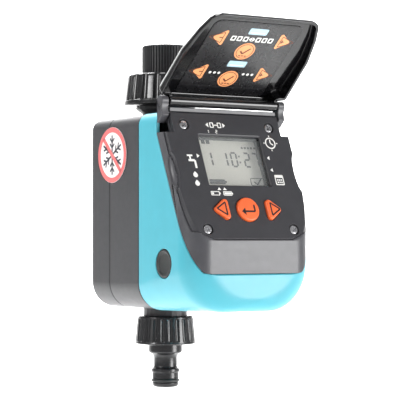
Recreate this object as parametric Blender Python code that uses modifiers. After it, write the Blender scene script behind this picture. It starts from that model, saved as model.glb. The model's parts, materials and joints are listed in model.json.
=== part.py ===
"""Battery irrigation timer that hangs from a garden tap, built as separate solids.

Units are metres. +Z is up, -Y faces the user, +X is to the user's right.
The origin is the centre of the tap adaptor's top face, on the axis that the water follows down.
The lid is modelled open, as it stands while the timer is being set.
"""

import math

import bmesh
import bpy
from mathutils import Matrix, Vector

MM = 0.001
GAP = 0.3 * MM  # between solids that touch or fit into each other

# Casing: a rounded box, cut across its depth into a rear cover, a main case and a front cowl.
CASE_HALF_WIDTH = 42.5 * MM
CASE_TOP = -44.8 * MM
CASE_BOTTOM = -157.8 * MM
REAR_Y = 19.5 * MM
SPLIT_Y = -5.0 * MM
COWL_BACK_Y = -39.0 * MM
CASE_FRONT_Y = COWL_BACK_Y + 1.3 * MM
FRONT_Y = -94.5 * MM
REAR_STEP = 0.6 * MM  # the two rear shells are this much slimmer than the cowl
REAR_EDGE_RADIUS = 5.5 * MM
TOP_RADIUS = 7.0 * MM
BOTTOM_RADIUS_BACK = 16.0 * MM
BOTTOM_RADIUS_FRONT = 28.0 * MM
PLAN_RADIUS = 14.0 * MM
FRONT_EDGE_RADIUS = 8.5 * MM
WALL = 2.4 * MM

# Face plate: a plane that leans back, with its own axes (across, up the plate, outward).
PLATE_TILT = math.radians(22.95)
PLATE_POINT = Vector((0.0, -66.56 * MM, -52.05 * MM))  # midway between the two upper screws
PLATE_OUT = Vector((0.0, -math.cos(PLATE_TILT), math.sin(PLATE_TILT)))
PLATE_UP = Vector((0.0, math.sin(PLATE_TILT), math.cos(PLATE_TILT)))
PLATE_THICKNESS = 2.4 * MM
PLATE_TOP = 7.3 * MM
PLATE_BOTTOM = -70.3 * MM
PLATE_INSET = 0.5 * MM
PLATE_TURN_X = 26.5 * MM  # the plate's foot is level up to here, then turns up
PLATE_TURN = math.radians(25)
NOTCH_HALF_WIDTH = 36.8 * MM
NOTCH_Z = -56.8 * MM
SCREW_X = 29.3 * MM
SCREW_DROP = 64.2 * MM

# Joint between cowl and control module, seen from the side: upright, then leaning, then level.
RIM_TOP_Y = -58.5 * MM
RIM_KNEE_Z = -57.6 * MM
RIM_LOW_Y = -93.9 * MM
RIM_LOW_Z = -137.0 * MM
RIM_RADIUS = 4.0 * MM

# Fasteners and openings of the casing.
SCREW_COLUMN = 35.8 * MM
CASE_SCREWS = [(side * SCREW_COLUMN, height) for side in (-1, 1) for height in (-58.0 * MM, -138.0 * MM)]
COWL_SCREWS = [(side * SCREW_COLUMN, -100.0 * MM) for side in (-1, 1)]
BOSS_RADIUS = 4.2 * MM
COWL_POST_TIP = -47.4 * MM
SCREW_SHANK = 1.4 * MM
SCREW_HEAD = 2.9 * MM
SCREW_HEAD_HEIGHT = 2.0 * MM
WELL_FLOOR_Y = 8.0 * MM
PARTITION = 2.2 * MM
NECK_HOLE = 14.3 * MM
OUTLET_HOLE = 13.6 * MM
PLUG_Y = -65.8 * MM
PLUG_Z = -130.5 * MM
PLUG_RADIUS = 8.1 * MM
STICKER_RADIUS = 16.3 * MM
STICKER_Y = -8.5 * MM
STICKER_Z = -67.4 * MM

# Control module behind the plate.
MODULE_WALL = 2.5 * MM
INSERT_HALF_WIDTH = 33.0 * MM
INSERT_BACK_Y = -48.0 * MM
INSERT_FLOOR_Z = -135.3 * MM
INSERT_TOP_Z = -47.8 * MM
GRIP_UP = -28.5 * MM
GRIP_SIZE = (2.9 * MM, 12.0 * MM, 6.5 * MM)

# Display: a window in the plate, a frame behind it, and the display glass at its foot.
WINDOW_HALF_WIDTH = 22.0 * MM
WINDOW_HIGH = -5.5 * MM
WINDOW_LOW = -38.0 * MM
WINDOW_CORNER = 1.5 * MM
DISPLAY_HALF_WIDTH = 24.5 * MM
DISPLAY_HIGH = -3.0 * MM
DISPLAY_LOW = -40.5 * MM
DISPLAY_DEPTH = 8.3 * MM
BOARD_FRONT = -11.3 * MM
BOARD_BACK = -12.9 * MM

# Battery: its two far corners. The terminals face +X.
BATTERY_LOW = Vector((-27.0 * MM, -77.0 * MM, -133.0 * MM))
BATTERY_HIGH = Vector((19.5 * MM, -50.5 * MM, -115.5 * MM))
TERMINAL_SPREAD = 6.35 * MM

# Keys.
KEY_ROW = -52.5 * MM
KEY_RISE = 1.8 * MM
KEY_TRAVEL = 1.2 * MM
ENTER_RADIUS = 7.1 * MM
ARROW_BASE_X = 13.0 * MM
ARROW_TIP_X = 23.4 * MM
ARROW_HALF_HEIGHT = 8.2 * MM
KEY_FLANGE = 1.2 * MM

# Lid: its own axes are across, along the lid from the hinge, and inward from the hinge rod.
HINGE = Vector((0.0, -61.75 * MM, -38.8 * MM))
LID_ELEVATION = math.radians(39.5)
ROD_RADIUS = 1.5 * MM
BARREL_RADIUS = 3.2 * MM
RIDGE_HALF_WIDTH = 36.5 * MM  # the module's top ridge, below the barrel
RIDGE_TOP = -42.4 * MM
LID_FLOOR = 7.5 * MM
LID_BACK = 9.2 * MM
LID_WALL = 2.0 * MM
LID_LENGTH = 64.0 * MM
LID_HALF_WIDTH = 43.0 * MM

# Water path.
VALVE_CENTRE_Y = -22.75 * MM
CHAMBER_RADIUS = 12.4 * MM  # the diaphragm chamber stands in front of the straight pipe
TAP_FLUTES = 20
HOSE_FLUTES = 24
TURN_STEPS = 24


# ---------------------------------------------------------------- collections and materials

for leftover in list(bpy.data.objects):
    bpy.data.objects.remove(leftover)

PARTS = bpy.data.collections.new("irrigation_timer")
CUTTERS = bpy.data.collections.new("cutters")
bpy.context.scene.collection.children.link(PARTS)
bpy.context.scene.collection.children.link(CUTTERS)


def material(name, colour, roughness, metallic=0.0, alpha=1.0):
    made = bpy.data.materials.new(name)
    made.use_nodes = True
    shader = made.node_tree.nodes["Principled BSDF"]
    shader.inputs["Base Color"].default_value = (*colour, 1.0)
    shader.inputs["Roughness"].default_value = roughness
    shader.inputs["Metallic"].default_value = metallic
    shader.inputs["Alpha"].default_value = alpha
    return made


CHARCOAL = material("charcoal_plastic", (0.055, 0.055, 0.06), 0.55)
TEAL = material("teal_plastic", (0.09, 0.45, 0.52), 0.4)
MODULE_GREY = material("module_plastic", (0.07, 0.07, 0.075), 0.5)
PLATE_GREY = material("plate_plastic", (0.06, 0.06, 0.068), 0.5)
GLOSS_BLACK = material("gloss_black_plastic", (0.012, 0.012, 0.014), 0.15)
NUT_BLACK = material("nut_plastic", (0.025, 0.025, 0.027), 0.3)
INNER_BLACK = material("inner_plastic", (0.02, 0.02, 0.022), 0.6)
LABEL_BLACK = material("lid_label_film", (0.02, 0.02, 0.022), 0.3)
STICKER = material("sticker_film", (0.8, 0.3, 0.28), 0.4)
CLEAR = material("clear_window", (0.85, 0.9, 0.9), 0.05, alpha=0.25)
DISPLAY = material("display_glass", (0.46, 0.45, 0.4), 0.2)
KEY_ORANGE = material("key_rubber", (0.83, 0.18, 0.05), 0.45)
RUBBER = material("seal_rubber", (0.02, 0.02, 0.02), 0.75)
MEMBRANE = material("keypad_silicone", (0.3, 0.3, 0.3), 0.7)
WHITE_PLASTIC = material("valve_plastic", (0.6, 0.6, 0.58), 0.45)
STEEL = material("screw_steel", (0.6, 0.6, 0.62), 0.3, metallic=1.0)
BRASS = material("contact_brass", (0.7, 0.5, 0.2), 0.3, metallic=1.0)
COPPER = material("coil_winding", (0.45, 0.18, 0.08), 0.4, metallic=0.6)
BOARD = material("circuit_board", (0.03, 0.22, 0.08), 0.5)
BATTERY = material("battery_jacket", (0.08, 0.09, 0.1), 0.35, metallic=0.3)
RED_WIRE = material("red_wire", (0.5, 0.02, 0.02), 0.5)
BLACK_WIRE = material("black_wire", (0.015, 0.015, 0.015), 0.5)
FILTER_MESH = material("filter_mesh", (0.5, 0.5, 0.48), 0.5)


# ---------------------------------------------------------------- shape tools


def frame_matrix(origin, across, along, normal):
    """Matrix whose local X, Y and Z are the three given directions."""
    rotation = Matrix((across, along, normal)).transposed()
    return Matrix.Translation(origin) @ rotation.to_4x4()


ACROSS = Vector((1.0, 0.0, 0.0))
PANEL = frame_matrix(PLATE_POINT, ACROSS, PLATE_UP, PLATE_OUT)
LID_ALONG = Vector((0.0, -math.cos(LID_ELEVATION), math.sin(LID_ELEVATION)))
LID_FRAME = frame_matrix(HINGE, ACROSS, LID_ALONG, ACROSS.cross(LID_ALONG))
PLAN = Matrix.Identity(4)  # local X and Y are the world's
SIDE = frame_matrix(Vector(), Vector((0, 1, 0)), Vector((0, 0, 1)), ACROSS)  # local X and Y are world Y and Z
PORT_AXIS = SIDE @ Matrix.Translation((PLUG_Y, PLUG_Z, 0.0))
VALVE_TOP_VIEW = Matrix.Translation((0.0, VALVE_CENTRE_Y, 0.0))


def finish(name, mesh, paint, is_cutter=False):
    """Object from a mesh, in the parts collection or, as a tool for another piece, with the cutters."""
    mesh.shade_smooth()
    mesh.set_sharp_from_angle(angle=math.radians(35))
    made = bpy.data.objects.new(name, mesh)
    if is_cutter:
        CUTTERS.objects.link(made)
        made.hide_render = True
        made.display_type = "WIRE"
    else:
        PARTS.objects.link(made)
        mesh.materials.append(paint)
    return made


def mesh_from(name, build):
    """Mesh that the function build fills through a bmesh, with its faces turned outward."""
    mesh = bpy.data.meshes.new(name)
    work = bmesh.new()
    build(work)
    bmesh.ops.recalc_face_normals(work, faces=work.faces)
    work.to_mesh(mesh)
    work.free()
    return mesh


def boolean(target, tool, operation):
    step = target.modifiers.new(operation.lower(), "BOOLEAN")
    step.operation = operation
    step.solver = "EXACT"
    step.object = tool
    return target


def cut(target, *tools):
    for tool in tools:
        boolean(target, tool, "DIFFERENCE")
    return target


def join(target, *tools):
    for tool in tools:
        boolean(target, tool, "UNION")
    return target


def keep(target, tool):
    return boolean(target, tool, "INTERSECT")


def rounded(corners, radii, inset=0.0, steps=4):
    """Closed counter-clockwise outline through corners, moved inward by inset, an arc at each corner."""
    count = len(corners)
    outline = []
    for index in range(count):
        before, here, after = (Vector(corners[(index + k) % count]) for k in (-1, 0, 1))
        arriving = (here - before).normalized()
        leaving = (after - here).normalized()
        inward = Vector((-arriving.y - leaving.y, arriving.x + leaving.x))
        inward /= 1.0 + arriving.dot(leaving)
        corner = here + inward * inset
        turn = arriving.angle_signed(leaving) * -1.0
        radius = radii[index]
        if radius == 0.0:
            outline.append(corner)
            continue
        radius = max(radius - inset * math.copysign(1.0, turn), 0.05 * MM)
        centre = corner + inward * radius * math.copysign(1.0, turn)
        start = corner - arriving * radius * math.tan(abs(turn) / 2.0) - centre
        for step in range(steps + 1):
            angle = turn * step / steps
            outline.append(centre + Matrix.Rotation(angle, 2) @ start)
    return outline


def box_corners(low_x, high_x, low_y, high_y):
    return [(low_x, low_y), (high_x, low_y), (high_x, high_y), (low_x, high_y)]


def circle(radius, centre=(0.0, 0.0), sides=32):
    angles = (2.0 * math.pi * k / sides for k in range(sides))
    return [(centre[0] + radius * math.cos(a), centre[1] + radius * math.sin(a)) for a in angles]


def slab(name, outlines, low, high, place, paint=None):
    """Flat outlines, an outer one and any holes, made solid between two heights above their plane."""
    curve = bpy.data.curves.new(name, "CURVE")
    curve.dimensions = "2D"
    curve.fill_mode = "BOTH"
    curve.extrude = (high - low) / 2.0
    for outline in outlines:
        spline = curve.splines.new("POLY")
        spline.points.add(len(outline) - 1)
        for point, (x, y) in zip(spline.points, outline):
            point.co = (x, y, 0.0, 1.0)
        spline.use_cyclic_u = True
    guide = bpy.data.objects.new(name + "_outline", curve)
    CUTTERS.objects.link(guide)
    guide.matrix_world = place @ Matrix.Translation((0.0, 0.0, (low + high) / 2.0))
    bpy.context.view_layer.update()
    mesh = bpy.data.meshes.new_from_object(guide.evaluated_get(bpy.context.evaluated_depsgraph_get()))
    work = bmesh.new()
    work.from_mesh(mesh)
    bmesh.ops.remove_doubles(work, verts=work.verts, dist=0.005 * MM)
    bmesh.ops.recalc_face_normals(work, faces=work.faces)
    work.to_mesh(mesh)
    work.free()
    made = finish(name, mesh, paint, is_cutter=paint is None)
    made.matrix_world = guide.matrix_world.copy()
    bpy.data.objects.remove(guide)
    return made


def block(name, low, high, paint=None, place=PLAN):
    """Box between two corners."""
    low, high = Vector(low), Vector(high)

    def build(work):
        bmesh.ops.create_cube(work, size=1.0)
        size = Matrix.Diagonal((*(high - low), 1.0))
        bmesh.ops.transform(work, verts=work.verts, matrix=Matrix.Translation((low + high) / 2.0) @ size)

    made = finish(name, mesh_from(name, build), paint, is_cutter=paint is None)
    made.matrix_world = place
    return made


def rod(name, radius, start, end, paint=None, place=PLAN, sides=24):
    """Cylinder between two points."""
    start, end = Vector(start), Vector(end)
    turn = (end - start).to_track_quat("Z", "Y").to_matrix().to_4x4()

    def build(work):
        bmesh.ops.create_cone(
            work, cap_ends=True, segments=sides, radius1=radius, radius2=radius, depth=(end - start).length
        )
        bmesh.ops.transform(work, verts=work.verts, matrix=Matrix.Translation((start + end) / 2.0) @ turn)

    made = finish(name, mesh_from(name, build), paint, is_cutter=paint is None)
    made.matrix_world = place
    return made


def turned(name, profile, paint=None, place=PLAN, hollow=False, steps=TURN_STEPS):
    """Profile of (radius, height) points turned about the axis.

    The profile runs down the outer side. A hollow one comes back up the bore and closes on itself.
    """
    mesh = bpy.data.meshes.new(name)
    points = [(radius, 0.0, height) for radius, height in profile]
    edges = [(k, k + 1) for k in range(len(points) - 1)]
    if hollow:
        edges.append((len(points) - 1, 0))
    mesh.from_pydata(points, edges, [])
    made = finish(name, mesh, paint, is_cutter=paint is None)
    made.matrix_world = place
    screw = made.modifiers.new("turn", "SCREW")
    screw.axis = "Z"
    screw.steps = steps
    screw.render_steps = steps
    screw.use_merge_vertices = True
    screw.merge_threshold = 0.00001
    screw.use_smooth_shade = True
    return made


def loft(name, rings, paint=None, place=PLAN):
    """Solid skinned over rings that all have the same number of points."""

    def build(work):
        rows = [[work.verts.new(point) for point in ring] for ring in rings]
        count = len(rows[0])
        for row, following in zip(rows, rows[1:]):
            for k in range(count):
                j = (k + 1) % count
                work.faces.new((row[k], row[j], following[j], following[k]))
        work.faces.new(rows[0])
        work.faces.new(rows[-1])

    made = finish(name, mesh_from(name, build), paint, is_cutter=paint is None)
    made.matrix_world = place
    return made


def coil_spring(name, radius, wire, low, high, turns, paint, place=PLAN):
    """Helix of round wire between two heights."""
    per_turn = 10
    count = int(turns * per_turn) + 1
    curve = bpy.data.curves.new(name, "CURVE")
    curve.dimensions = "3D"
    curve.bevel_depth = wire / 2.0
    curve.bevel_resolution = 0
    curve.use_fill_caps = True
    spline = curve.splines.new("POLY")
    spline.points.add(count - 1)
    for k, point in enumerate(spline.points):
        angle = 2.0 * math.pi * k / per_turn
        height = low + wire / 2.0 + (high - low - wire) * k / (count - 1)
        point.co = (radius * math.cos(angle), radius * math.sin(angle), height, 1.0)
    made = bpy.data.objects.new(name, curve)
    made.data.materials.append(paint)
    PARTS.objects.link(made)
    made.matrix_world = place
    return made


def wire_run(name, route, diameter, paint):
    """Insulated wire along a smooth line through the route's points."""
    curve = bpy.data.curves.new(name, "CURVE")
    curve.dimensions = "3D"
    curve.bevel_depth = diameter / 2.0
    curve.bevel_resolution = 1
    curve.use_fill_caps = True
    spline = curve.splines.new("POLY")
    points = smooth_line([Vector(point) for point in route], 3)
    spline.points.add(len(points) - 1)
    for point, place in zip(spline.points, points):
        point.co = (*place, 1.0)
    made = bpy.data.objects.new(name, curve)
    made.data.materials.append(paint)
    PARTS.objects.link(made)
    return made


def smooth_line(points, per_span):
    """Catmull-Rom line through the points."""
    padded = [points[0], *points, points[-1]]
    line = []
    for a, b, c, d in zip(padded, padded[1:], padded[2:], padded[3:]):
        for k in range(per_span):
            t = k / per_span
            square_term = 2.0 * a - 5.0 * b + 4.0 * c - d
            cube_term = 3.0 * b - a - 3.0 * c + d
            line.append(0.5 * (2.0 * b + (c - a) * t + square_term * t**2 + cube_term * t**3))
    line.append(points[-1])
    return line


def mirrored_x(points):
    """The same corners on the other side, still counter-clockwise."""
    return [(-x, y) for x, y in reversed(points)]


# ---------------------------------------------------------------- casing


def case_ring(y, half_width, top, bottom, top_radius, bottom_radius):
    """Front view of the casing at one depth, as points in space."""
    corners = box_corners(-half_width, half_width, bottom, top)
    outline = rounded(corners, (bottom_radius, bottom_radius, top_radius, top_radius))
    return [(x, y, z) for x, z in outline]


def rear_form(name, front, back, inset, paint=None):
    """Solid of the two rear shells' outline, its rear edge rounded, between two depths."""
    shrink = inset + REAR_STEP
    radius = REAR_EDGE_RADIUS - inset
    stations = [(front, 0.0)]
    if back < REAR_Y:
        stations.append((back, 0.0))
    else:
        centre = REAR_Y - REAR_EDGE_RADIUS
        for angle in (0, 30, 60, 90):
            turn = math.radians(angle)
            stations.append((centre + radius * math.sin(turn), radius * (1.0 - math.cos(turn))))
    rings = []
    for y, narrow in stations:
        pull = shrink + narrow
        corner = max(TOP_RADIUS - pull, 0.5 * MM)
        rings.append(
            case_ring(
                y,
                CASE_HALF_WIDTH - pull,
                CASE_TOP - pull,
                CASE_BOTTOM + pull,
                corner,
                BOTTOM_RADIUS_BACK - pull,
            )
        )
    return loft(name, rings, paint)


def cowl_form(name, back, inset, paint=None):
    """Solid of the cowl's outline, narrowing round its front corners and lower front edge."""
    plan_radius = PLAN_RADIUS - inset
    edge_radius = FRONT_EDGE_RADIUS - inset
    plan_centre = FRONT_Y + PLAN_RADIUS
    edge_centre = FRONT_Y + FRONT_EDGE_RADIUS
    stations = [back, -60.0 * MM]
    for angle in (0, 18, 36, 54, 68, 80, 90):
        stations.append(plan_centre - plan_radius * math.sin(math.radians(angle)))
    rings = []
    for y in stations:
        ahead = min(max(plan_centre - y, 0.0), plan_radius)
        narrow = plan_radius - math.sqrt(plan_radius**2 - ahead**2)
        below = min(max(edge_centre - y, 0.0), edge_radius)
        lift = edge_radius - math.sqrt(edge_radius**2 - below**2)
        share = (COWL_BACK_Y - y) / (COWL_BACK_Y - FRONT_Y)
        bottom_radius = BOTTOM_RADIUS_BACK + (BOTTOM_RADIUS_FRONT - BOTTOM_RADIUS_BACK) * share
        rings.append(
            case_ring(
                y,
                CASE_HALF_WIDTH - inset - narrow,
                CASE_TOP - inset,
                CASE_BOTTOM + inset + lift,
                TOP_RADIUS - inset,
                bottom_radius - inset,
            )
        )
    return loft(name, rings, paint)


def rim_tool(name, inset):
    """Everything in front of the joint between cowl and module."""
    corners = [
        (-130.0 * MM, -20.0 * MM),
        (-130.0 * MM, RIM_LOW_Z),
        (RIM_LOW_Y, RIM_LOW_Z),
        (RIM_TOP_Y, RIM_KNEE_Z),
        (RIM_TOP_Y, -20.0 * MM),
    ]
    outline = rounded(corners, (0.0, 0.0, RIM_RADIUS, 0.0, 0.0), inset)
    return slab(name, [outline], -60.0 * MM, 60.0 * MM, SIDE)


def water_holes(target):
    """Round openings in the top and bottom walls, shared by the two shells that clamp the valve."""
    reach = 15.0 * MM
    for end, radius, wall in (("top", NECK_HOLE, CASE_TOP), ("low", OUTLET_HOLE, CASE_BOTTOM)):
        low, high = (0, 0, wall - reach), (0, 0, wall + reach)
        cut(target, rod(f"{target.name}_{end}_hole", radius, low, high, sides=TURN_STEPS))


def rear_cover():
    made = rear_form("rear_cover", SPLIT_Y + GAP / 2.0, REAR_Y, 0.0, CHARCOAL)
    cut(made, rear_form("rear_cover_room", SPLIT_Y - 1.0 * MM, REAR_Y, WALL))
    water_holes(made)
    for index, (x, z) in enumerate(CASE_SCREWS):
        beyond = REAR_Y + 1.0 * MM
        joint = (x, SPLIT_Y - 1.0 * MM, z)
        tip, foot = (x, SPLIT_Y + GAP, z), (x, REAR_Y - 2.0 * MM, z)
        post = rod(f"rear_post_{index}", BOSS_RADIUS, tip, foot, sides=20)
        well = rod(f"rear_well_{index}", SCREW_HEAD + GAP, (x, WELL_FLOOR_Y, z), (x, beyond, z), sides=20)
        way = rod(f"rear_way_{index}", SCREW_SHANK + GAP, joint, (x, beyond, z), sides=12)
        join(made, post)
        cut(made, well, way)


def main_case():
    made = rear_form("main_case", CASE_FRONT_Y, SPLIT_Y - GAP / 2.0, 0.0, CHARCOAL)
    room = rear_form("main_case_room", CASE_FRONT_Y + PARTITION, SPLIT_Y + 1.0 * MM, WALL)
    cut(made, room)
    water_holes(made)
    for index, (x, z) in enumerate(CASE_SCREWS):
        tip, joint = (x, SPLIT_Y - GAP / 2.0, z), (x, SPLIT_Y + 1.0 * MM, z)
        post = rod(f"case_post_{index}", BOSS_RADIUS, (x, -26.0 * MM, z), tip, sides=20)
        way = rod(f"case_way_{index}", SCREW_SHANK + GAP, (x, -22.0 * MM, z), joint, sides=12)
        join(made, post)
        cut(made, way)
    for index, (x, z) in enumerate(COWL_SCREWS):
        low, high = (x, -45 * MM, z), (x, -30 * MM, z)
        cut(made, rod(f"partition_way_{index}", SCREW_SHANK + GAP, low, high, sides=12))
    cut(made, rod("wire_way", 2.2 * MM, (0, -45 * MM, -66 * MM), (0, -30 * MM, -66 * MM), sides=16))


def case_gasket():
    """Soft ring that fills the shadow line between main case and cowl."""
    rings = []
    for inset in (1.3 * MM, 3.1 * MM):
        ring = case_ring(
            0.0,
            CASE_HALF_WIDTH - inset,
            CASE_TOP - inset,
            CASE_BOTTOM + inset,
            TOP_RADIUS - inset,
            BOTTOM_RADIUS_BACK - inset,
        )
        rings.append([(x, z) for x, _, z in ring])
    facing_back = frame_matrix(Vector(), ACROSS, Vector((0, 0, 1)), Vector((0, -1, 0)))
    slab("case_gasket", rings, -CASE_FRONT_Y + GAP, -COWL_BACK_Y - GAP, facing_back, RUBBER)


def screws(name, tops, axis_out, length, shank_radius, head_radius, head_height, place=PLAN):
    """Identical screws, one node each. A top is the middle of a head's face, and axis_out leaves it."""
    turn = Vector(axis_out).to_track_quat("Z", "Y").to_matrix().to_4x4()
    profile = [
        (0.0, 0.0),
        (head_radius * 0.8, 0.0),
        (head_radius, -head_height * 0.4),
        (head_radius, -head_height),
        (shank_radius, -head_height),
        (shank_radius, -length + shank_radius),
        (0.0, -length),
    ]
    for index, top in enumerate(tops, start=1):
        stand = place @ Matrix.Translation(top) @ turn
        made = turned(f"{name}_{index}", profile, STEEL, stand, steps=10)
        low = Vector((-head_radius * 0.62, -head_radius * 0.14, -head_height * 0.55))
        high = Vector((head_radius * 0.62, head_radius * 0.14, 1.0 * MM))
        for arm in range(2):
            aim = stand @ Matrix.Rotation(arm * math.pi / 2.0, 4, "Z")
            cut(made, block(f"{name}_{index}_slot_{arm}", low, high, place=aim))


def module_slide():
    """The way that the module's floor takes over the cowl's lip as the module is pulled out."""
    half = INSERT_HALF_WIDTH + GAP
    low = (-half, FRONT_Y - 1.0 * MM, INSERT_FLOOR_Z - GAP)
    return block("module_slide", low, (half, FRONT_Y + 8.0 * MM, INSERT_FLOOR_Z + 10.0 * MM))


def front_cowl():
    made = cowl_form("front_cowl", COWL_BACK_Y, 0.0, TEAL)
    cut(made, cowl_form("cowl_room", COWL_BACK_Y + 1.0 * MM, WALL), rim_tool("cowl_mouth", -GAP / 2.0))
    cut(made, module_slide())
    for index, (x, z) in enumerate(COWL_SCREWS):
        post = rod(f"cowl_post_{index}", BOSS_RADIUS, (x, COWL_POST_TIP, z), (x, COWL_BACK_Y, z), sides=20)
        web = block(
            f"cowl_web_{index}",
            (min(x, math.copysign(41.0 * MM, x)), COWL_POST_TIP, z - 1.0 * MM),
            (max(x, math.copysign(41.0 * MM, x)), COWL_BACK_Y, z + 1.0 * MM),
        )
        way_end = COWL_POST_TIP + 0.6 * MM
        way = rod(f"cowl_way_{index}", SCREW_SHANK + GAP, (x, way_end, z), (x, -30.0 * MM, z), sides=12)
        join(made, post, web)
        cut(made, way)
    mouth, end = (-50 * MM, PLUG_Y, PLUG_Z), (-39 * MM, PLUG_Y, PLUG_Z)
    cut(made, rod("plug_hole", PLUG_RADIUS + GAP, mouth, end, sides=32))


def sensor_port():
    """Two-pin socket for a rain sensor in the cowl's left side, under a rubber plug."""
    face = -CASE_HALF_WIDTH
    plug_profile = [
        (0.0, face + 2.4 * MM),
        (PLUG_RADIUS, face + 2.4 * MM),
        (PLUG_RADIUS, face + 0.4 * MM),
        (PLUG_RADIUS - 1.2 * MM, face + 0.1 * MM),
        (PLUG_RADIUS - 1.8 * MM, face + 0.9 * MM),
        (0.0, face + 0.9 * MM),
    ]
    turned("sensor_plug", plug_profile, RUBBER, PORT_AXIS, steps=32)
    front, back = (-40.0 * MM + GAP, PLUG_Y, PLUG_Z), (-34.0 * MM, PLUG_Y, PLUG_Z)
    socket = rod("sensor_socket", 7.0 * MM, front, back, INNER_BLACK)
    for index, y in enumerate((PLUG_Y - 2.5 * MM, PLUG_Y + 2.5 * MM)):
        low, high = (-45 * MM, y, PLUG_Z), (-36 * MM, y, PLUG_Z)
        cut(socket, rod(f"pin_hole_{index}", 1.0 * MM, low, high, sides=12))


def side_label():
    """Round sticker on the left side, across the joint between the two rear shells."""
    centre = Vector((0, STICKER_Y, STICKER_Z))
    facing_left = frame_matrix(centre, Vector((0, -1, 0)), Vector((0, 0, 1)), -ACROSS)
    wall = CASE_HALF_WIDTH - REAR_STEP
    slab("side_label", [circle(STICKER_RADIUS)], wall + 0.1 * MM, wall + 0.35 * MM, facing_left, STICKER)


def case_fasteners():
    backward = (0, 1, 0)
    places = [(x, WELL_FLOOR_Y + GAP + SCREW_HEAD_HEIGHT, z) for x, z in CASE_SCREWS]
    screws("case_screw", places, backward, 30.0 * MM, SCREW_SHANK, SCREW_HEAD, SCREW_HEAD_HEIGHT)
    places = [(x, CASE_FRONT_Y + PARTITION + GAP + SCREW_HEAD_HEIGHT, z) for x, z in COWL_SCREWS]
    screws("cowl_screw", places, backward, 13.0 * MM, SCREW_SHANK, SCREW_HEAD, SCREW_HEAD_HEIGHT)


# ---------------------------------------------------------------- control module


def plan_outline(inset):
    corners = box_corners(-CASE_HALF_WIDTH, CASE_HALF_WIDTH, FRONT_Y, -30.0 * MM)
    return rounded(corners, (PLAN_RADIUS, PLAN_RADIUS, 0.0, 0.0), inset, steps=8)


def plate_slab(name, low, high):
    """Everything between two heights above the plate's plane, wider than the casing."""
    return slab(name, [box_corners(-60 * MM, 60 * MM, PLATE_BOTTOM - 60 * MM, 60 * MM)], low, high, PANEL)


def grips(prefix):
    """Two shallow egg-shaped hollows, one in each side of the module."""
    tools = []
    for side in (-1, 1):

        def build(work):
            bmesh.ops.create_uvsphere(work, u_segments=24, v_segments=12, radius=1.0)
            bmesh.ops.transform(work, verts=work.verts, matrix=Matrix.Diagonal((*GRIP_SIZE, 1.0)))

        tool = finish(f"{prefix}_grip_{side}", mesh_from(f"{prefix}_grip", build), None, is_cutter=True)
        tool.matrix_world = PANEL @ Matrix.Translation((side * CASE_HALF_WIDTH, GRIP_UP, 0.0))
        tools.append(tool)
    return tools


def notches(prefix, reach):
    """The cut-away upper corners of the module, below the hinge brackets."""
    tools = []
    for side in (-1, 1):
        low_x, high_x = sorted((side * NOTCH_HALF_WIDTH, side * 60.0 * MM))
        tools.append(block(f"{prefix}_notch_{side}", (low_x, -120 * MM, NOTCH_Z), (high_x, reach, -20 * MM)))
    return tools


def plate_area(foot, top):
    """Outline on the plate's plane, level at its foot and turned up at both lower corners."""
    far = 60.0 * MM
    raised = foot + (far - PLATE_TURN_X) * math.tan(PLATE_TURN)
    corners = [
        (-far, raised),
        (-PLATE_TURN_X, foot),
        (PLATE_TURN_X, foot),
        (far, raised),
        (far, top),
        (-far, top),
    ]
    return [rounded(corners, (0.0, 8.0 * MM, 8.0 * MM, 0.0, 0.0, 0.0))]


def screw_spots():
    return [(side * SCREW_X, up, 0.0) for side in (-1, 1) for up in (0.0, -SCREW_DROP)]


def face_plate():
    made = slab("face_plate", [plan_outline(PLATE_INSET)], -150 * MM, CASE_TOP - 0.5 * MM, PLAN, PLATE_GREY)
    keep(made, slab("plate_layer", plate_area(PLATE_BOTTOM, PLATE_TOP), -PLATE_THICKNESS, 0.0, PANEL))
    cut(made, *notches("plate", 0.0), *grips("plate"))
    window = box_corners(-WINDOW_HALF_WIDTH, WINDOW_HALF_WIDTH, WINDOW_LOW, WINDOW_HIGH)
    corner = (WINDOW_CORNER,) * 4
    rings = []
    for height, inset in ((0.5 * MM, -0.4 * MM), (-0.8 * MM, 0.9 * MM), (-5.0 * MM, 0.9 * MM)):
        rings.append([(x, y, height) for x, y in rounded(window, corner, inset)])
    cut(made, loft("window_cut", rings, place=PANEL))
    for name, outline in key_outlines().items():
        hole = slab(f"{name}_hole", [rounded(*outline, -GAP)], -5.0 * MM, 2.0 * MM, PANEL)
        cut(made, hole)
    for index, (x, y, _) in enumerate(screw_spots()):
        above = (x, y, 2.0 * MM)
        cut(made, rod(f"plate_well_{index}", 3.3 * MM, (x, y, -1.5 * MM), above, place=PANEL, sides=20))
        cut(made, rod(f"plate_way_{index}", 1.7 * MM, (x, y, -5.0 * MM), above, place=PANEL, sides=12))


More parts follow.
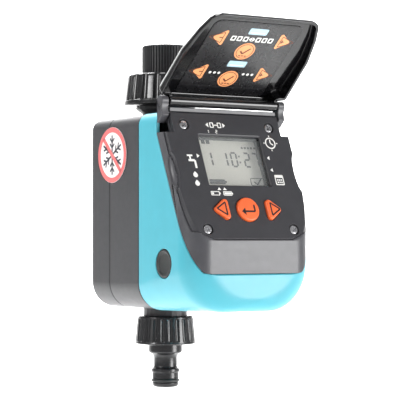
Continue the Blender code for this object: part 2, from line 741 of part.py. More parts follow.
def module_body():
    front = slab("module_body", [plan_outline(0.0)], -150 * MM, CASE_TOP - 0.2 * MM, PLAN, MODULE_GREY)
    under_plate = -PLATE_THICKNESS - GAP
    rim = rim_tool("module_rim", GAP / 2.0)
    above = slab("plate_room", plate_area(PLATE_BOTTOM - GAP, 60 * MM), under_plate, 60 * MM, PANEL)
    ahead = plate_slab("plate_plane", 0.02 * MM, 60 * MM)
    keep(front, rim)
    cut(front, above, ahead)
    inner = slab("module_room", [plan_outline(MODULE_WALL)], -150 * MM, CASE_TOP - MODULE_WALL, PLAN)
    keep(inner, plate_slab("module_room_layer", -80 * MM, under_plate - MODULE_WALL))
    cut(front, inner)
    insert = block(
        "module_insert",
        (-INSERT_HALF_WIDTH, -93.0 * MM, INSERT_FLOOR_Z),
        (INSERT_HALF_WIDTH, INSERT_BACK_Y, INSERT_TOP_Z),
    )
    keep(insert, plate_slab("insert_layer", -80 * MM, under_plate - 0.5 * MM))
    cut(insert, block("chin_room", (-60 * MM, -100 * MM, -150 * MM), (60 * MM, -90.2 * MM, -130.0 * MM)))
    join(front, insert)
    wall = 2.0 * MM
    insert_room = block(
        "insert_room",
        (-INSERT_HALF_WIDTH + wall, -91.0 * MM, INSERT_FLOOR_Z + wall),
        (INSERT_HALF_WIDTH - wall, INSERT_BACK_Y + 5.0 * MM, INSERT_TOP_Z - wall),
    )
    keep(insert_room, plate_slab("insert_room_layer", -80 * MM, under_plate - MODULE_WALL))
    cut(front, insert_room, *notches("module", -40 * MM), *grips("module"))
    opening = 0.3 * MM
    display = box_corners(-DISPLAY_HALF_WIDTH, DISPLAY_HALF_WIDTH, DISPLAY_LOW, DISPLAY_HIGH)
    cut(front, slab("display_way", [rounded(display, (0.0,) * 4, -opening)], -9.0 * MM, 1.0 * MM, PANEL))
    keys = box_corners(-28.5 * MM, 28.5 * MM, KEY_ROW - 10.2 * MM, KEY_ROW + 10.2 * MM)
    cut(front, slab("key_way", [rounded(keys, (2.0 * MM,) * 4)], -6.0 * MM, 1.0 * MM, PANEL))
    for index, (x, y, _) in enumerate(screw_spots()):
        low, high = (x, y, -9.0 * MM), (x, y, 2.0 * MM)
        cut(front, rod(f"module_way_{index}", 1.7 * MM, low, high, place=PANEL, sides=12))
    ridge_back, ridge_foot, ridge_front = RIM_TOP_Y - GAP, -61.2 * MM, -63.0 * MM
    ridge = [
        (ridge_front, RIDGE_TOP),
        (ridge_front, -44.9 * MM),
        (ridge_foot, -44.9 * MM),
        (ridge_foot, -46.0 * MM),
        (ridge_back, -46.0 * MM),
        (ridge_back, RIDGE_TOP),
    ]
    join(front, slab("module_ridge", [ridge], -RIDGE_HALF_WIDTH, RIDGE_HALF_WIDTH, SIDE))
    for side in (-1, 1):
        join(front, *bracket(side))
        inner, outer = hinge_point(side * 37 * MM), hinge_point(side * 41.4 * MM)
        cut(front, rod(f"rod_hole_{side}", ROD_RADIUS + GAP, inner, outer))


def hinge_point(x):
    return HINGE + Vector((x, 0.0, 0.0))


def bracket(side):
    """Arm beside the lid: a web from the module, a leaning plate and a round eye for the hinge rod."""
    inner, outer = 38.0 * MM, 42.3 * MM
    low_x, high_x = sorted((side * inner, side * outer))
    back_y = RIM_TOP_Y - GAP
    corners = [
        (-64.6 * MM, -47.1 * MM),
        (-60.0 * MM, -51.3 * MM),
        (back_y, -51.3 * MM),
        (back_y, HINGE.z),
        (-64.4 * MM, HINGE.z),
        (-63.6 * MM, -42.8 * MM),
    ]
    arm = slab(f"bracket_arm_{side}", [corners], low_x, high_x, SIDE)
    eye = rod(f"bracket_eye_{side}", 2.95 * MM, hinge_point(low_x), hinge_point(high_x), sides=32)
    low_x, high_x = sorted((side * 34.5 * MM, side * (inner + 0.5 * MM)))
    web = block(f"bracket_web_{side}", (low_x, -60.7 * MM, -50.8 * MM), (high_x, back_y, CASE_TOP - 0.6 * MM))
    return web, arm, eye


def key_outlines():
    """Corners and corner radii of the three keys, on the plate."""
    arrow = [
        (ARROW_BASE_X, KEY_ROW - ARROW_HALF_HEIGHT),
        (ARROW_TIP_X, KEY_ROW),
        (ARROW_BASE_X, KEY_ROW + ARROW_HALF_HEIGHT),
    ]
    radii = (2.0 * MM, 1.6 * MM, 2.0 * MM)
    reach = ENTER_RADIUS
    square = box_corners(-reach, reach, KEY_ROW - reach, KEY_ROW + reach)
    return {
        "minus_button": (mirrored_x(arrow), radii),
        "enter_button": (square, (reach - 0.01 * MM,) * 4),
        "plus_button": (arrow, radii),
    }


def keys():
    under = -PLATE_THICKNESS - GAP
    for name, outline in key_outlines().items():
        heights = (
            (under - 1.0 * MM, -KEY_FLANGE),
            (under, -KEY_FLANGE),
            (under, 0.0),
            (KEY_RISE - 0.8 * MM, 0.0),
            (KEY_RISE - 0.25 * MM, 0.3 * MM),
            (KEY_RISE, 0.9 * MM),
        )
        rings = []
        for height, inset in heights:
            rings.append([(x, y, height) for x, y in rounded(*outline, inset, steps=6)])
        loft(name, rings, KEY_ORANGE, PANEL)


def keypad_membrane():
    """Silicone sheet behind the keys, with a stem behind each that presses the board."""
    low, high = -6.5 * MM, -5.5 * MM
    sheet = box_corners(-29 * MM, 29 * MM, KEY_ROW - 10.5 * MM, KEY_ROW + 10.5 * MM)
    made = slab("keypad_membrane", [rounded(sheet, (2.0 * MM,) * 4)], low, high, PANEL, MEMBRANE)
    for index, x in enumerate((-17.5 * MM, 0.0, 17.5 * MM)):
        start, end = (x, KEY_ROW, BOARD_FRONT + GAP), (x, KEY_ROW, low + 0.3 * MM)
        join(made, rod(f"key_stem_{index}", 2.5 * MM, start, end, place=PANEL, sides=16))


def display_stack():
    """Clear window, the frame behind it and the display glass, one behind another."""
    outer = box_corners(-DISPLAY_HALF_WIDTH, DISPLAY_HALF_WIDTH, DISPLAY_LOW, DISPLAY_HIGH)
    under = -PLATE_THICKNESS - GAP
    slab("lcd_window", [outer], under - 1.4 * MM, under, PANEL, CLEAR)
    window = box_corners(-WINDOW_HALF_WIDTH, WINDOW_HALF_WIDTH, WINDOW_LOW, WINDOW_HIGH)
    hole = rounded(window, (1.0 * MM,) * 4)
    slab("lcd_frame", [outer, hole], -DISPLAY_DEPTH + GAP, under - 1.4 * MM - GAP, PANEL, INNER_BLACK)
    slab("lcd_panel", [outer], BOARD_FRONT + GAP, -DISPLAY_DEPTH, PANEL, DISPLAY)


def circuit_board():
    board = [box_corners(-30.0 * MM, 30.0 * MM, -67.0 * MM, 2.0 * MM)]
    made = slab("circuit_board", board, BOARD_BACK, BOARD_FRONT, PANEL, BOARD)
    root = BOARD_BACK + 0.2 * MM
    chip = block("chip", (-6 * MM, -30 * MM, BOARD_BACK - 1.6 * MM), (6 * MM, -18 * MM, root), place=PANEL)
    can_end = (14 * MM, -12 * MM, BOARD_BACK - 8 * MM)
    can = rod("capacitor", 3.2 * MM, can_end, (14 * MM, -12 * MM, root), place=PANEL, sides=16)
    join(made, chip, can)


def battery():
    """Nine-volt block lying across the module, with its snap, its wires and the strap that holds it."""
    low, high = BATTERY_LOW, BATTERY_HIGH
    section = rounded(box_corners(low.y, high.y, low.z, high.z), (2.0 * MM,) * 4, steps=3)
    made = slab("battery", [section], low.x, high.x, SIDE, BATTERY)
    middle_y, middle_z = (low.y + high.y) / 2.0, (low.z + high.z) / 2.0
    for name, shift, radius in (("stud", -TERMINAL_SPREAD, 2.9 * MM), ("cup", TERMINAL_SPREAD, 4.2 * MM)):
        foot = (high.x - 0.2 * MM, middle_y + shift, middle_z)
        join(made, rod(name, radius, foot, (high.x + 2.2 * MM, middle_y + shift, middle_z), sides=16))
    snap_low = (high.x + 2.5 * MM, low.y + 2.0 * MM, middle_z - 6.0 * MM)
    snap_high = (high.x + 5.0 * MM, high.y - 2.0 * MM, middle_z + 6.0 * MM)
    block("battery_snap", snap_low, snap_high, INNER_BLACK)
    battery_strap(low, high)
    wire_x = snap_high[0] + 0.6 * MM + GAP
    for name, y, paint, bend_x in (
        ("battery_red_wire", -58.0 * MM, RED_WIRE, 22.0 * MM),
        ("battery_black_wire", -69.0 * MM, BLACK_WIRE, 23.3 * MM),
    ):
        route = [
            (wire_x, y, middle_z + 3.0 * MM),
            (wire_x, y, high.z + 4.3 * MM),
            (bend_x + 3.0 * MM, y + 1.0 * MM, high.z + 10.3 * MM),
            (bend_x, -62.0 * MM, -95.0 * MM),
            (bend_x, -64.0 * MM, -85.0 * MM),
        ]
        wire_run(name, route, 1.1 * MM, paint)


def battery_strap(low, high):
    """Bent strip over the battery's top and down its blind end."""
    front, back = -72.0 * MM, -56.0 * MM
    under, over = high.z + GAP, high.z + GAP + 1.5 * MM
    end = low.x - 2.0 * MM
    strap = block("battery_strap", (end, front, under), (high.x - 4.0 * MM, back, over), INNER_BLACK)
    join(strap, block("strap_leg", (end, front, low.z), (low.x - GAP, back, over)))


def contact_block():
    """Spring contacts on the main case that meet the board when the module is pushed home."""
    back = COWL_BACK_Y - GAP
    block("contact_block", (-8 * MM, -49.0 * MM, -64.8 * MM), (8 * MM, back, -57.5 * MM), INNER_BLACK)
    for name, x in (("contact_pin_left", -4.0 * MM), ("contact_pin_right", 4.0 * MM)):
        rod(name, 0.9 * MM, (x, -54.8 * MM, -61.5 * MM), (x, -49.3 * MM, -61.5 * MM), BRASS, sides=16)


# ---------------------------------------------------------------- lid


def lid_outline(inset, hinge_end):
    """Outline of the lid on its own plane: across, and along from the hinge."""
    half, narrow, eye = LID_HALF_WIDTH, 37.4 * MM, 3.7 * MM
    right = [
        (narrow, hinge_end),
        (narrow, eye),
        (half, eye),
        (half, 34.0 * MM),
        (39.8 * MM, 50.5 * MM),
        (35.0 * MM, LID_LENGTH),
    ]
    radii = [1.0 * MM, 0.6 * MM, 1.5 * MM, 18.0 * MM, 8.0 * MM, 7.0 * MM]
    corners = right + [(-x, y) for x, y in reversed(right)]
    return rounded(corners, radii + radii[::-1], inset, steps=4)


def lid():
    """Shallow tray: floor, side walls that get lower towards the far end, and a barrel for the hinge rod."""
    hinge_end = -BARREL_RADIUS
    edge, most = 5.6 * MM, 5.0 * MM
    rings = [[(x, y, 0.5 * MM) for x, y in lid_outline(0.0, hinge_end)]]
    for angle in (0, 22.5, 45, 67.5, 90):
        turn = math.radians(angle)
        height = -(LID_BACK - edge + edge * math.sin(turn))
        inset = edge - edge * math.cos(turn)
        rings.append([(x, y, height) for x, y in lid_outline(min(inset, most), hinge_end)])
    made = loft("lid", rings, GLOSS_BLACK, LID_FRAME)
    rim = [
        (-10 * MM, 5 * MM),
        (-10 * MM, -0.5 * MM),
        (4 * MM, -0.9 * MM),
        (90 * MM, -5.2 * MM),
        (90 * MM, 5 * MM),
    ]
    lid_side = frame_matrix(Vector(), Vector((0, 1, 0)), Vector((0, 0, 1)), ACROSS)
    cut(made, slab("lid_rim", [rim], -60 * MM, 60 * MM, LID_FRAME @ lid_side))
    rings = []
    for above_floor, inset in ((13.0 * MM, 0.0), (1.2 * MM, 0.0), (0.3 * MM, 0.35 * MM), (0.0, 1.2 * MM)):
        height = above_floor - LID_FLOOR
        rings.append([(x, y, height) for x, y in lid_outline(LID_WALL + inset, hinge_end)])
    cut(made, loft("lid_room", rings, place=LID_FRAME))
    reach = 36.9 * MM
    join(made, rod("lid_barrel", BARREL_RADIUS, hinge_point(-reach), hinge_point(reach), sides=32))
    cut(made, rod("lid_barrel_way", ROD_RADIUS + GAP, hinge_point(-45 * MM), hinge_point(45 * MM)))
    film = box_corners(-30.0 * MM, 30.0 * MM, 0.6 * MM, 57.0 * MM)
    label = rounded(film, (2.0 * MM, 2.0 * MM, 5.0 * MM, 5.0 * MM))
    slab("lid_label", [label], -LID_FLOOR + 0.1 * MM, -LID_FLOOR + 0.35 * MM, LID_FRAME, LABEL_BLACK)
    rod("hinge_rod", ROD_RADIUS, hinge_point(-41.0 * MM), hinge_point(41.0 * MM), STEEL)


# ---------------------------------------------------------------- inlet


def tap_nut():
    """Large collar that screws on the adaptor, fluted for grip."""
    profile = [
        (16.6 * MM, -17.6 * MM),
        (20.5 * MM, -17.6 * MM),
        (22.2 * MM, -18.3 * MM),
        (23.0 * MM, -20.0 * MM),
        (24.6 * MM, -33.4 * MM),
        (25.2 * MM, -33.8 * MM),
        (25.2 * MM, -36.0 * MM),
        (24.4 * MM, -36.8 * MM),
        (12.3 * MM, -36.8 * MM),
        (12.3 * MM, -33.0 * MM),
        (16.6 * MM, -33.0 * MM),
    ]
    made = turned("tap_nut", profile, NUT_BLACK, hollow=True, steps=40)
    runs = []
    for index in range(TAP_FLUTES):
        turn = Matrix.Rotation(2.0 * math.pi * (index + 0.5) / TAP_FLUTES, 4, "Z")
        low = turn @ Vector((25.9 * MM, 0.0, -33.3 * MM))
        high = turn @ Vector((24.1 * MM, 0.0, -18.3 * MM))
        runs.append((low, high, 2.3 * MM))
    cut(made, bars("tap_flutes", runs))


def bars(name, runs, sides=6):
    """Round bars between pairs of points, as one cutting tool."""

    def build(work):
        for low, high, radius in runs:
            turn = (high - low).to_track_quat("Z", "Y").to_matrix().to_4x4()
            bmesh.ops.create_cone(
                work,
                cap_ends=True,
                segments=sides,
                radius1=radius,
                radius2=radius,
                depth=(high - low).length,
                matrix=Matrix.Translation((low + high) / 2.0) @ turn,
            )

    return finish(name, mesh_from(name, build), None, is_cutter=True)


def tap_adaptor():
    profile = [
        (10.4 * MM, 0.0),
        (13.2 * MM, 0.0),
        (14.2 * MM, -1.0 * MM),
        (14.2 * MM, -17.9 * MM),
        (16.2 * MM, -18.2 * MM),
        (16.2 * MM, -27.6 * MM),
        (7.5 * MM, -27.6 * MM),
        (7.5 * MM, -14.5 * MM),
        (10.4 * MM, -14.5 * MM),
    ]
    turned("tap_adaptor", profile, INNER_BLACK, hollow=True, steps=32)


def inlet_parts():
    washer = [
        (15.6 * MM, -27.9 * MM),
        (15.6 * MM, -30.2 * MM),
        (12.4 * MM, -30.2 * MM),
        (12.4 * MM, -29.7 * MM),
        (8.0 * MM, -29.7 * MM),
        (8.0 * MM, -27.9 * MM),
    ]
    turned("inlet_washer", washer, RUBBER, hollow=True)
    cup = [
        (0.0, -45.2 * MM),
        (6.4 * MM, -45.2 * MM),
        (6.4 * MM, -30.0 * MM),
        (11.6 * MM, -30.0 * MM),
        (11.6 * MM, -30.5 * MM),
        (7.2 * MM, -30.5 * MM),
        (7.2 * MM, -46.0 * MM),
        (0.0, -46.0 * MM),
    ]
    turned("inlet_filter", cup, FILTER_MESH)
    low, high = -32.7 * MM, -31.3 * MM
    clip = [(15.3 * MM, high), (15.3 * MM, low), (11.3 * MM, low), (11.3 * MM, high)]
    turned("nut_clip", clip, STEEL, hollow=True)


# ---------------------------------------------------------------- valve


def valve_body():
    outer = [
        (0.0, -30.8 * MM),
        (12.0 * MM, -30.8 * MM),
        (12.0 * MM, -31.0 * MM),
        (11.0 * MM, -31.0 * MM),
        (11.0 * MM, -33.0 * MM),
        (12.0 * MM, -33.0 * MM),
        (12.0 * MM, -37.2 * MM),
        (17.8 * MM, -37.2 * MM),
        (17.8 * MM, -38.8 * MM),
        (14.0 * MM, -41.3 * MM),
        (14.0 * MM, -49.8 * MM),
        (15.4 * MM, -49.8 * MM),
        (15.4 * MM, -51.8 * MM),
        (10.0 * MM, -51.8 * MM),
        (10.0 * MM, -149.5 * MM),
        (15.4 * MM, -149.5 * MM),
        (15.4 * MM, -151.6 * MM),
        (13.2 * MM, -152.0 * MM),
        (13.2 * MM, -172.4 * MM),
        (0.0, -172.4 * MM),
    ]
    made = turned("valve_body", outer, WHITE_PLASTIC)
    low, high = (0, VALVE_CENTRE_Y, -128 * MM), (0, VALVE_CENTRE_Y, -104 * MM)
    chamber = rod("chamber", CHAMBER_RADIUS, low, high, sides=TURN_STEPS)
    neck = block("chamber_neck", (-7 * MM, -16 * MM, -127 * MM), (7 * MM, -6 * MM, -104.2 * MM))
    join(made, chamber, neck)
    bowl = [
        (5.5 * MM, -103.0 * MM),
        (10.4 * MM, -103.0 * MM),
        (10.4 * MM, -110.0 * MM),
        (5.5 * MM, -110.0 * MM),
    ]
    cut(
        made,
        rod("inlet_bore", 7.9 * MM, (0, 0, -111 * MM), (0, 0, -25 * MM), sides=32),
        rod("outlet_bore", 7.0 * MM, (0, 0, -180 * MM), (0, 0, -115 * MM), sides=32),
        turned("bowl", bowl, place=VALVE_TOP_VIEW, hollow=True),
        rod("seat_top", 6.5 * MM, (0, VALVE_CENTRE_Y, -105 * MM), (0, VALVE_CENTRE_Y, -103 * MM)),
        rod("seat_bore", 3.8 * MM, (0, VALVE_CENTRE_Y, -124 * MM), (0, VALVE_CENTRE_Y, -102 * MM)),
        rod("upper_passage", 2.6 * MM, (0, -14 * MM, -107 * MM), (0, 0, -107 * MM), sides=16),
        rod("lower_passage", 3.4 * MM, (0, VALVE_CENTRE_Y, -120 * MM), (0, 0, -120 * MM), sides=20),
    )


def valve_inside():
    place = VALVE_TOP_VIEW
    membrane = [
        (12.1 * MM, -102.2 * MM),
        (12.1 * MM, -103.7 * MM),
        (5.3 * MM, -103.7 * MM),
        (5.3 * MM, -102.9 * MM),
        (8.5 * MM, -102.2 * MM),
    ]
    turned("diaphragm", membrane, RUBBER, place, hollow=True)
    disc = [
        (0.0, -100.7 * MM),
        (7.6 * MM, -100.7 * MM),
        (7.6 * MM, -101.9 * MM),
        (5.0 * MM, -101.9 * MM),
        (5.0 * MM, -104.7 * MM),
        (0.0, -104.7 * MM),
    ]
    turned("valve_disc", disc, INNER_BLACK, place)
    bonnet = [
        (0.0, -67.5 * MM),
        (4.6 * MM, -67.5 * MM),
        (4.6 * MM, -93.0 * MM),
        (7.0 * MM, -94.0 * MM),
        (CHAMBER_RADIUS, -94.0 * MM),
        (CHAMBER_RADIUS, -101.9 * MM),
        (9.0 * MM, -101.9 * MM),
        (9.0 * MM, -96.0 * MM),
        (3.6 * MM, -96.0 * MM),
        (3.6 * MM, -70.0 * MM),
        (0.0, -70.0 * MM),
    ]
    turned("valve_bonnet", bonnet, WHITE_PLASTIC, place)
    plunger = [
        (0.0, -82.0 * MM),
        (3.25 * MM, -82.0 * MM),
        (3.25 * MM, -97.6 * MM),
        (2.2 * MM, -98.5 * MM),
        (0.0, -98.5 * MM),
    ]
    turned("solenoid_plunger", plunger, STEEL, place, steps=24)
    coil = [(9.5 * MM, -71.0 * MM), (9.5 * MM, -92.5 * MM), (4.9 * MM, -92.5 * MM), (4.9 * MM, -71.0 * MM)]
    turned("solenoid_coil", coil, COPPER, place, hollow=True, steps=32)
    front, back, top, half = -28.0 * MM, -16.0 * MM, -69.2 * MM, 11.4 * MM
    frame = block("solenoid_frame", (-half, front, top - 1.5 * MM), (half, back, top), STEEL)
    for side in (-1, 1):
        low_x, high_x = sorted((side * (half - 1.5 * MM), side * half))
        join(frame, block(f"frame_leg_{side}", (low_x, front, -92.5 * MM), (high_x, back, top)))
    cut(frame, rod("frame_hole", 4.9 * MM, (0, VALVE_CENTRE_Y, -75 * MM), (0, VALVE_CENTRE_Y, -65 * MM)))
    coil_spring("plunger_spring", 2.4 * MM, 0.5 * MM, -81.7 * MM, -70.3 * MM, 6, STEEL, place)
    coil_spring("diaphragm_spring", 6.2 * MM, 0.7 * MM, -100.4 * MM, -96.3 * MM, 2.5, STEEL, place)
    for name, sign, paint in (("coil_red_wire", 1.0, RED_WIRE), ("coil_black_wire", -1.0, BLACK_WIRE)):
        route = [
            (sign * 5.0 * MM, -31.8 * MM, -76.0 * MM),
            (sign * 3.0 * MM, -33.0 * MM, -72.0 * MM),
            (sign * 1.0 * MM, -34.5 * MM, -67.0 * MM),
            (sign * 1.0 * MM, -37.0 * MM, -66.0 * MM),
            (sign * 1.0 * MM, -40.5 * MM, -66.8 * MM),
            (sign * 1.0 * MM, -43.0 * MM, -67.4 * MM),
        ]
        wire_run(name, route, 1.0 * MM, paint)


# ---------------------------------------------------------------- outlet


def hose_nut():
    profile = [
        (13.5 * MM, -162.8 * MM),
        (15.9 * MM, -162.8 * MM),
        (16.8 * MM, -163.6 * MM),
        (18.2 * MM, -178.4 * MM),
        (18.4 * MM, -179.2 * MM),
        (17.6 * MM, -180.0 * MM),
        (10.6 * MM, -180.0 * MM),
        (10.6 * MM, -177.5 * MM),
        (13.5 * MM, -177.5 * MM),
    ]
    made = turned("hose_nut", profile, NUT_BLACK, hollow=True, steps=48)
    runs = []
    for index in range(HOSE_FLUTES):
        turn = Matrix.Rotation(2.0 * math.pi * (index + 0.5) / HOSE_FLUTES, 4, "Z")
        low = turn @ Vector((19.0 * MM, 0.0, -177.6 * MM))
        high = turn @ Vector((17.6 * MM, 0.0, -164.6 * MM))
        runs.append((low, high, 1.45 * MM))
    cut(made, bars("hose_flutes", runs))


def hose_nipple():
    profile = [
        (4.5 * MM, -174.7 * MM),
        (12.8 * MM, -174.7 * MM),
        (12.8 * MM, -177.2 * MM),
        (10.3 * MM, -177.2 * MM),
        (10.3 * MM, -184.6 * MM),
        (9.9 * MM, -185.2 * MM),
        (8.2 * MM, -186.3 * MM),
        (7.15 * MM, -188.2 * MM),
        (7.15 * MM, -193.3 * MM),
        (8.0 * MM, -194.4 * MM),
        (8.75 * MM, -195.0 * MM),
        (8.75 * MM, -196.6 * MM),
        (8.2 * MM, -197.0 * MM),
        (8.2 * MM, -200.6 * MM),
        (6.0 * MM, -200.6 * MM),
        (6.0 * MM, -203.2 * MM),
        (8.1 * MM, -203.2 * MM),
        (8.1 * MM, -204.4 * MM),
        (7.4 * MM, -205.6 * MM),
        (6.4 * MM, -206.0 * MM),
        (4.5 * MM, -206.0 * MM),
    ]
    turned("hose_nipple", profile, NUT_BLACK, hollow=True)
    section = circle(1.1 * MM, (7.45 * MM, -201.9 * MM), sides=10)
    turned("nipple_o_ring", section[::-1], RUBBER, hollow=True)
    low, high = -174.4 * MM, -172.7 * MM
    washer = [(12.8 * MM, high), (12.8 * MM, low), (6.5 * MM, low), (6.5 * MM, high)]
    turned("outlet_washer", washer, RUBBER, hollow=True)


def main():
    rear_cover()
    main_case()
    case_gasket()
    front_cowl()
    sensor_port()
    side_label()
    case_fasteners()
    module_body()
    face_plate()
    keys()
    keypad_membrane()
    display_stack()
    circuit_board()
    battery()
    contact_block()
    screws("plate_screw", screw_spots(), (0, 0, 1), 9.0 * MM, SCREW_SHANK, 2.8 * MM, 1.2 * MM, PANEL)
    lid()
    tap_nut()
    tap_adaptor()
    inlet_parts()
    valve_body()
    valve_inside()
    hose_nut()
    hose_nipple()


main()
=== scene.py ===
import json
import math

import bmesh
import bpy
from mathutils import Matrix, Vector


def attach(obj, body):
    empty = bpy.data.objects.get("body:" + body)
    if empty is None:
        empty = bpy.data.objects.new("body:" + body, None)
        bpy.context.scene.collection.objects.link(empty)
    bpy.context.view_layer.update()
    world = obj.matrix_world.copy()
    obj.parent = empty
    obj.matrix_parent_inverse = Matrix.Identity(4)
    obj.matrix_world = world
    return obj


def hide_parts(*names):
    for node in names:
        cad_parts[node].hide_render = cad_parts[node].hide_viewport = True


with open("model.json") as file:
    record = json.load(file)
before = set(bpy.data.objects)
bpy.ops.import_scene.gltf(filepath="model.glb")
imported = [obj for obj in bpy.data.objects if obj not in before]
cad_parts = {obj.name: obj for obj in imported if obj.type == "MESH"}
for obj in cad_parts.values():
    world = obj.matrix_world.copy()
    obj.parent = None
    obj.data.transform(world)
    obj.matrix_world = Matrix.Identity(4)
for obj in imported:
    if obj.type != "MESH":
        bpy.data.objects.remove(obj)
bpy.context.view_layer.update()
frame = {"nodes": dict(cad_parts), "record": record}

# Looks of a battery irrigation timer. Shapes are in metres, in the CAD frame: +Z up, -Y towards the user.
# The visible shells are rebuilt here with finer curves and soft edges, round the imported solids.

NODES = frame["nodes"]
MM = 0.001
GAP = 0.3 * MM
SHARP = math.radians(32)

# Casing
CASE_HALF_WIDTH = 42.5 * MM
CASE_TOP = -44.8 * MM
CASE_BOTTOM = -157.8 * MM
REAR_Y = 19.5 * MM
SPLIT_Y = -5.0 * MM
COWL_BACK_Y = -39.0 * MM
CASE_FRONT_Y = COWL_BACK_Y + 1.3 * MM
FRONT_Y = -94.5 * MM
REAR_STEP = 0.6 * MM
REAR_EDGE_RADIUS = 5.5 * MM
TOP_RADIUS = 7.0 * MM
BOTTOM_RADIUS_BACK = 16.0 * MM
BOTTOM_RADIUS_FRONT = 28.0 * MM
PLAN_RADIUS = 14.0 * MM
FRONT_EDGE_RADIUS = 8.5 * MM
WALL = 2.4 * MM
CASE_SCREWS = [(side * 35.8 * MM, height) for side in (-1, 1) for height in (-58.0 * MM, -138.0 * MM)]
SCREW_HEAD = 2.9 * MM
SCREW_SHANK = 1.4 * MM
WELL_FLOOR_Y = 8.0 * MM
PLUG_Y = -65.8 * MM
PLUG_Z = -130.5 * MM
PLUG_RADIUS = 8.1 * MM

# Face plate and control module
PLATE_TILT = math.radians(22.95)
PLATE_POINT = Vector((0.0, -66.56 * MM, -52.05 * MM))
PLATE_OUT = Vector((0.0, -math.cos(PLATE_TILT), math.sin(PLATE_TILT)))
PLATE_UP = Vector((0.0, math.sin(PLATE_TILT), math.cos(PLATE_TILT)))
PLATE_THICKNESS = 2.4 * MM
PLATE_TOP = 7.3 * MM
PLATE_BOTTOM = -70.3 * MM
PLATE_INSET = 0.5 * MM
PLATE_TURN_X = 26.5 * MM  # the plate's foot is level up to here, then turns up
PLATE_TURN = math.radians(25)
NOTCH_HALF_WIDTH = 36.8 * MM
NOTCH_Z = -56.8 * MM
SCREW_X = 29.3 * MM
SCREW_DROP = 64.2 * MM
RIM_TOP_Y = -58.5 * MM
RIM_KNEE_Z = -57.6 * MM
RIM_LOW_Y = -93.9 * MM
RIM_LOW_Z = -137.0 * MM
RIM_RADIUS = 4.0 * MM
MODULE_WALL = 2.5 * MM
INSERT_HALF_WIDTH = 33.0 * MM
INSERT_BACK_Y = -48.0 * MM
INSERT_FLOOR_Z = -135.3 * MM
INSERT_TOP_Z = -47.8 * MM
GRIP_UP = -28.5 * MM
GRIP_SIZE = (2.9 * MM, 12.0 * MM, 6.5 * MM)
GRIP_SEGMENTS = 64
GRIP_RAISE = 0.25 * MM  # keeps the tool's pole out of the plate's plane
WINDOW = (-22.0 * MM, 22.0 * MM, -38.0 * MM, -5.5 * MM)
DISPLAY = (-24.5 * MM, 24.5 * MM, -40.5 * MM, -3.0 * MM)
DISPLAY_DEPTH = 8.3 * MM
KEY_ROW = -52.5 * MM
KEY_RISE = 1.8 * MM
KEY_FLANGE = 1.2 * MM
ENTER_RADIUS = 7.1 * MM
ARROW = (13.0 * MM, 23.4 * MM, 8.2 * MM)  # base, tip, half height

# Lid
HINGE = Vector((0.0, -61.75 * MM, -38.8 * MM))
LID_ELEVATION = math.radians(39.5)
ROD_RADIUS = 1.5 * MM
BARREL_RADIUS = 3.2 * MM
RIDGE_HALF_WIDTH = 36.5 * MM
RIDGE_TOP = -42.4 * MM
LID_FLOOR = 7.5 * MM
LID_BACK = 9.2 * MM
LID_WALL = 2.0 * MM
LID_LENGTH = 64.0 * MM
LID_HALF_WIDTH = 43.0 * MM

# Water fittings
TAP_FLUTES = 20
HOSE_FLUTES = 24
ADAPTOR_RIBS = 50
PRINT_DEPTH = 0.06 * MM
CLEAR_OF_FACE = 0.03 * MM  # keeps a tool's face off the face that it cuts or joins


# ---------------------------------------------------------------- materials


def srgb(red, green, blue):
    """Linear colour from the usual 0 to 255 values."""
    linear = []
    for value in (red, green, blue):
        share = value / 255.0
        linear.append(share / 12.92 if share <= 0.04045 else ((share + 0.055) / 1.055) ** 2.4)
    return tuple(linear)


